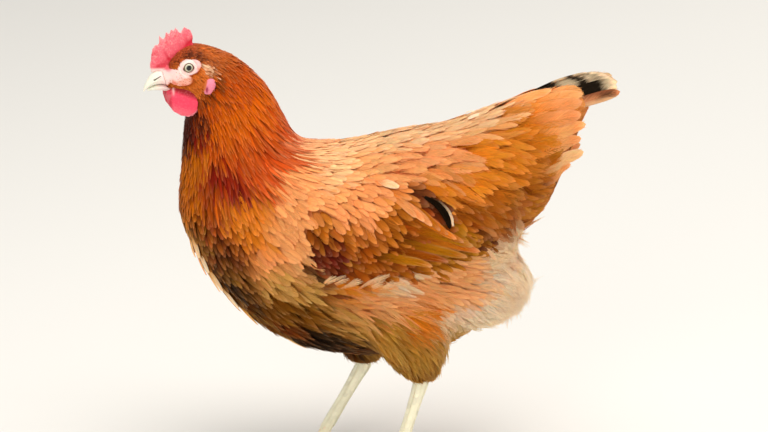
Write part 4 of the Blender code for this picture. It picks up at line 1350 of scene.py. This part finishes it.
# overlapping plates: two wide columns down the front of the shank, small ones round it, bands on the toes
def layScales(side):
    sign = 1 if side == "left" else -1
    near = legSurface.places[legSurface.places[:, 0] * sign > 0]
    laid = []

    def centreAt(height):
        ring = near[np.abs(near[:, 2] - height) < 1.5 * mm]
        return Vector((*ring[:, :2].mean(0), height))

    # a plate is kept if all its points lie on the leg and it is no steeper than drop
    def keepPlate(hits, width, drop=math.inf):
        path = [place + normal * lift for (place, normal), lift in zip(hits, scaleLifts)]
        if len(path) == len(scaleLifts) and max(p.z for p in path) - min(p.z for p in path) < drop:
            laid.append((path, [normal for place, normal in hits], width))

    for number, (turn, width, pitch) in enumerate(scaleColumns):
        way = Vector((math.sin(math.radians(turn)) * sign, -math.cos(math.radians(turn)), 0))
        height = plates["top"] - (number % 2) * pitch * 0.5
        while height > plates["bottom"]:
            hits = []
            for part in range(6):
                centre = centreAt((height - part * pitch * plates["overlap"] / 5) * mm)
                place, normal = legSurface.tree.ray_cast(centre, way, 0.03)[:2]
                if place is not None and (place - centre).length <= plates["lostAt"] * mm:
                    hits.append((place, normal))
            keepPlate(hits, width * mm)
            height -= pitch
    foot = centreAt(16 * mm).xy
    for toe in toes:
        nail = middleOf("claw_" + toe + "_" + side).xy
        reach = (nail - foot).length
        onward = (nail - foot).normalized()
        sideways = Vector((onward.y, -onward.x))
        away = toePlates["start"] * mm
        while away < reach - toePlates["end"] * mm:
            hits = []
            for part in range(6):
                at = foot + onward * (away + part * 1.0 * mm)
                tops = [Vector((*(at + sideways * (k * mm)), 22 * mm)) for k in range(-3, 4)]
                found = [legSurface.tree.ray_cast(top, Vector((0, 0, -1))) for top in tops]
                found = [hit for hit in found if hit[0] is not None and hit[1].z > 0.75]
                if found:
                    hits.append(max(found, key=lambda hit: hit[0].z)[:2])
            width = toePlates["width"] - toePlates["taper"] * away / reach
            keepPlate(hits, width * mm, plates["steepest"] * mm)
            away += toePlates["pitch"] * mm
    paths, normals, widths = (np.array(column) for column in zip(*laid))
    base = linear(faceColours["leg"]) * np.exp(dice.normal(0, 0.05, (len(paths), 1)))
    colours = np.repeat(base[:, None], len(plateBlade["t"]), 1)
    axis = ((0.04 * sign, 0, 90), (0.04 * sign, 0, 0))
    piece = layBlades("leg_scales_" + side, plateBlade, paths, normals, widths, 0.22 * mm, 0.36, colours,
                      paths[:, 0], axis, ragged=0.03, streak=0.0)
    dress(piece, scaleFinish)


layScales("left")
layScales("right")

# large feathers, each placed by its root and tip on the left side and mirrored to the right


# rows of root, tip, width, facing and kind, in millimetres on the left side
def layQuills(name, rows, template, finish, axis, paint, bow=0.0, thickness=0.35, streak=0.07,
              sink=None, lift=1.2, arc=0.0):
    paths, normals, flips = [], [], []
    share = np.linspace(0, 1, 7)[:, None]
    hump = 4 * share * (1 - share)
    for sign, (root, tip, width, facing, kind) in itertools.product((1, -1), rows):
        mirror = np.array([sign, 1, 1.0])
        start, end = np.array(root, float) * mirror * mm, np.array(tip, float) * mirror * mm
        face = unit(np.array(facing, float) * mirror)
        aside = unit(np.cross(end - start, face) * sign)
        path = mix(start, end, share) + face * (bow * mm) * hump + aside * (arc * mm) * hump
        path = path + np.array([0, 0, 0.012]) * hump * np.linalg.norm(end - start)
        faces = np.tile(face, (7, 1))
        if sink is not None:
            where, normal = outer.nearest(path)
            gap = ((path - where) * normal).sum(1, keepdims=True) / mm
            wanted = -sink + (sink + lift) * share**0.7
            path = path + normal * np.maximum(wanted - gap, 0) * mm
            path = path - normal * np.clip(gap - wanted, 0, 25) * (1 - step(share, 0.35, 0.85)) * mm
            faces = unit(mix(faces, normal, (1 - step(gap, 3, 10)) * 0.8))
            path[0] = where[0] - normal[0] * sink * mm
        paths.append(path)
        normals.append(faces)
        flips.append(sign)
    paths, normals = np.array(paths), np.array(normals)
    widths, kinds = np.array([row[2] for row in rows] * 2) * mm, [row[4] for row in rows] * 2

    def painter(place, shape):
        out = np.empty(place.shape)
        for i, kind in enumerate(kinds):
            out[i] = paint(kind, shape["x"] * flips[i], shape["t"], place[i])
        return out

    piece = layBlades(name, template, paths, normals, widths, thickness * mm, 0.12, painter, paths[:, 0],
                      axis, ragged=0.025, streak=streak, soft=0.3)
    dress(piece, finish)
    return piece


quillBlade = leafTemplate("quill", rows=16, sides=8, barbs=34, leaf=0.99, barbWidth=0.045, slim=10.0,
                          shaft=0.06, tipCrowd=1.3, sweep=0.13)
bigBlade = leafTemplate("contour", rows=10, sides=8, barbs=18, leaf=0.99, barbWidth=0.05, slim=6.0,
                        shaft=0.035, sweep=0.25)


def edged(value, low, high, soft):
    return step(value, low - soft, low + soft) * (1 - step(value, high - soft, high + soft))


# colour along and across one large feather: soft patches over its base colour, their edges broken by barbs
def patchwork(base, patches, x, t, place):
    broken = 0.05 * ripple(place, 1.6, 9)
    out = np.tile(shadeOf(base), (len(t), 1))
    for name, t0, t1, x0, x1, amount in patches:
        inside = edged(t + broken, t0, t1, 0.05) * edged(x + broken * 3, x0, x1, 0.12)
        out = mix(out, shadeOf(name), (inside * amount)[:, None])
    return out


tailKinds = {
    "top": ("cream", (("black", -0.2, 0.36, -2, 2, 1), ("stone", 0.36, 0.56, -2, 2, 0.75),
                      ("black", 0.55, 0.70, -2, 0.9, 1), ("stone", 0.72, 0.88, -2, -0.1, 0.8),
                      ("black", 0.78, 0.84, -0.9, -0.5, 0.8))),
    "middle": ("cream", (("black", 0.0, 0.86, -2, 0.75, 1), ("stone", 0.84, 0.93, -2, 0, 0.8))),
    "low": ("clay", (("claret", 0.2, 1.1, -2, -0.55, 0.7), ("black", 0.72, 0.92, -0.6, 0.5, 0.85),
                     ("blush", 0.2, 1.1, 0.5, 2, 0.6))),
}


def paintTail(kind, x, t, place):
    base, patches = tailKinds[kind]
    return patchwork(base, patches, x, t, place)


tailRows = (
    ((2, 138, 342), (1.5, 190, 356.5), 13, (0.7, 0, 0.7), "top"),
    ((4, 139, 340), (3.0, 197, 357), 13, (0.8, 0, 0.5), "top"),
    ((6, 140, 337), (4.5, 203, 356), 13, (0.9, 0, 0.4), "top"),
    ((8, 141, 334), (6.0, 207, 354.5), 13, (0.95, 0, 0.3), "top"),
    ((10, 142, 331), (7.5, 209, 351.5), 13, (1, 0, 0.2), "middle"),
    ((12, 143, 328), (9.0, 211.5, 348), 13, (1, 0, 0.15), "middle"),
    ((14, 144, 324), (11.0, 213.5, 344), 10.5, (1, 0, 0.05), "low"),
)
tailFinish = featherFinish("tailVane", 0.5, 0.10, 0.08, 0.0, 14)
tail = layQuills("tail_feathers", tailRows, quillBlade, tailFinish,
                 ((0, 130, 335), (0, 215, 350)), paintTail)
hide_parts("tail_left", "tail_right")


def paintPlain(kind, x, t, place):
    out = mix(shadeOf(kind[0]), shadeOf(kind[1]), step(t, 0.1, 0.7)[:, None])
    pale = 0.22 * step(np.abs(x), 0.6, 1.0) * step(t, 0.5, 0.9) + 0.2 * step(t, 0.86, 1.0)
    return mix(out, shadeOf("cream"), pale[:, None])


covertRows = (
    ((14, 120, 328), (11.5, 180, 342), 13, (0.95, 0, 0.35), ("orange", "peach")),
    ((18, 122, 320), (15, 178, 336), 14, (1, 0, 0.2), ("orange", "apricot")),
    ((10, 104, 334), (7, 153, 344), 13, (0.8, 0, 0.6), ("apricot", "peach")),
    ((20, 120, 312), (19, 178, 326), 16, (1, 0, 0.1), ("ginger", "apricot")),
    ((22, 122, 302), (16, 182, 316), 15, (1, 0.1, 0), ("ginger", "peach")),
    ((24, 125, 292), (16, 178, 303), 15, (1, 0.15, -0.05), ("orange", "peach")),
    ((26, 125, 272), (13, 181, 290), 15, (1, 0.2, -0.1), ("ginger", "pale")),
    ((22, 128, 262), (10, 170, 278), 15, (0.9, 0.3, -0.2), ("walnut", "peach")),
)
layQuills("tail_covert_feathers", covertRows, bigBlade, backFinish,
          ((0, 105, 300), (0, 190, 320)), paintPlain, bow=1.0, sink=2.5)

wingRows = (
    ((64, -2, 270), (76, 26, 248), 7.5, (1, 0, 0.25), ("orange", "peach")),
    ((65, 2, 267), (77.5, 33, 245), 7, (1, 0, 0.2), ("walnut", "apricot")),
    ((66, 6, 264), (78.5, 40, 241), 7, (1, 0, 0.2), ("rust", "peach")),
    ((66, 12, 262), (78.5, 47, 237), 7, (1, 0, 0.2), ("walnut", "ginger")),
    ((67, 14, 256), (78, 54, 233), 7, (1, 0.1, 0.2), ("russet", "orange")),
    ((68, 8, 250), (78, 61, 229), 7.5, (1, 0.1, 0.1), ("walnut", "orange")),
    ((69, 6, 245), (77, 69, 225), 8, (1, 0.15, 0.05), ("chestnut", "ginger")),
    ((69, 2, 240), (75.5, 77, 221), 9, (1, 0.15, 0.05), ("russet", "olive")),
    ((70, -4, 236), (74.5, 83, 216), 10, (1, 0.2, 0), ("walnut", "ginger")),
    ((71, -6, 229), (76, 70, 212), 9, (1, 0.1, -0.05), ("walnut", "olive")),
    ((72, -14, 223), (79, 56, 208), 9, (1, 0.05, -0.1), ("walnut", "rust")),
    ((72, -22, 217), (80.5, 40, 205), 9, (1, 0, -0.1), ("walnut", "olive")),
)
wingAxis = ((0, -70, 240), (0, 90, 240))
layQuills("flight_feathers", wingRows, bigBlade, backFinish, wingAxis, paintPlain, sink=1.5,
          lift=1.6, arc=-1.5, streak=0.12)

fringeRows = (
    ((19, -171, 222), (22, -163, 200), 10, (0.3, -0.9, -0.3), ("sand", "blush")),
    ((9, -176, 218), (7, -166, 197), 11, (0.1, -0.95, -0.3), ("sand", "pale")),
    ((7, -170, 203), (11, -156, 182), 10, (0.1, -0.85, -0.5), ("sand", "peach")),
    ((11, -160, 188), (8, -142, 167), 11, (0.1, -0.75, -0.65), ("straw", "pale")),
    ((7, -144, 170), (9, -121, 152), 10, (0.1, -0.6, -0.8), ("straw", "sand")),
    ((20, -166, 208), (22, -153, 188), 10, (0.3, -0.8, -0.5), ("sand", "cream")),
    ((20, -156, 193), (21, -140, 172), 10, (0.2, -0.7, -0.6), ("sand", "blush")),
    ((18, -143, 177), (18, -124, 158), 10, (0.2, -0.6, -0.7), ("straw", "cream")),
    ((16, -128, 161), (14, -106, 142), 10, (0.2, -0.5, -0.8), ("straw", "sand")),
    ((10, -88, 128), (8, -66, 114), 10, (0.1, -0.3, -0.9), ("straw", "blush")),
)
layQuills("breast_fringe", fringeRows, bigBlade, backFinish, bodyAxis, paintPlain, sink=2.0,
          lift=1.8)
accentRows = (
    ((3, 92, 328), (12, 78, 321), 6, (0.6, 0, 0.8), ("cream", "cream")),
    ((58, -10, 280), (64, 12, 272), 8, (1, 0, 0.5), ("apricot", "blush")),
)
layQuills("back_accent_feathers", accentRows, bigBlade, backFinish, bodyAxis, paintPlain,
          sink=1.5, lift=1.6)

flankRows = []
for number in range(12):
    ahead, up, turn = dice.uniform(-3, 3), dice.uniform(-3, 3), dice.uniform(-6, 6)
    root = (66 + number % 3, -60 + 5 * number + ahead, 183 + up)
    tip = (77 + number % 2, root[1] + 19 + turn, root[2] + dice.uniform(8, 15))
    flankRows.append((root, tip, dice.uniform(4, 8), (1, -0.1, 0.4), ("apricot", "blush")))
tuftBlade = tuftTemplate(9, 53, rows=3, thin=0.14)
layQuills("flank_tufts", flankRows, tuftBlade, fluffFinish, bodyAxis, paintPlain,
          thickness=0.5, sink=2.0, lift=2.5)


def paintDark(kind, x, t, place):
    return mix(shadeOf(kind[0]), shadeOf(kind[1]), step(t, 0.1, 0.9)[:, None])


gapRows = (
    ((67, 34, 264), (76.5, 55, 238), 7, (1, 0.1, 0.2), ("dusk", "dusk")),
    # the narrow feather's cream tip is a painted highlight on the dark feather's edge
    ((67, 40, 264), (75.5, 58, 239), 4, (1, 0.2, 0.3), ("umber", "cream")),
)
layQuills("wing_tip_feathers", gapRows, bigBlade, backFinish, wingAxis, paintDark, sink=-0.5,
          lift=2.6, arc=-4.5)
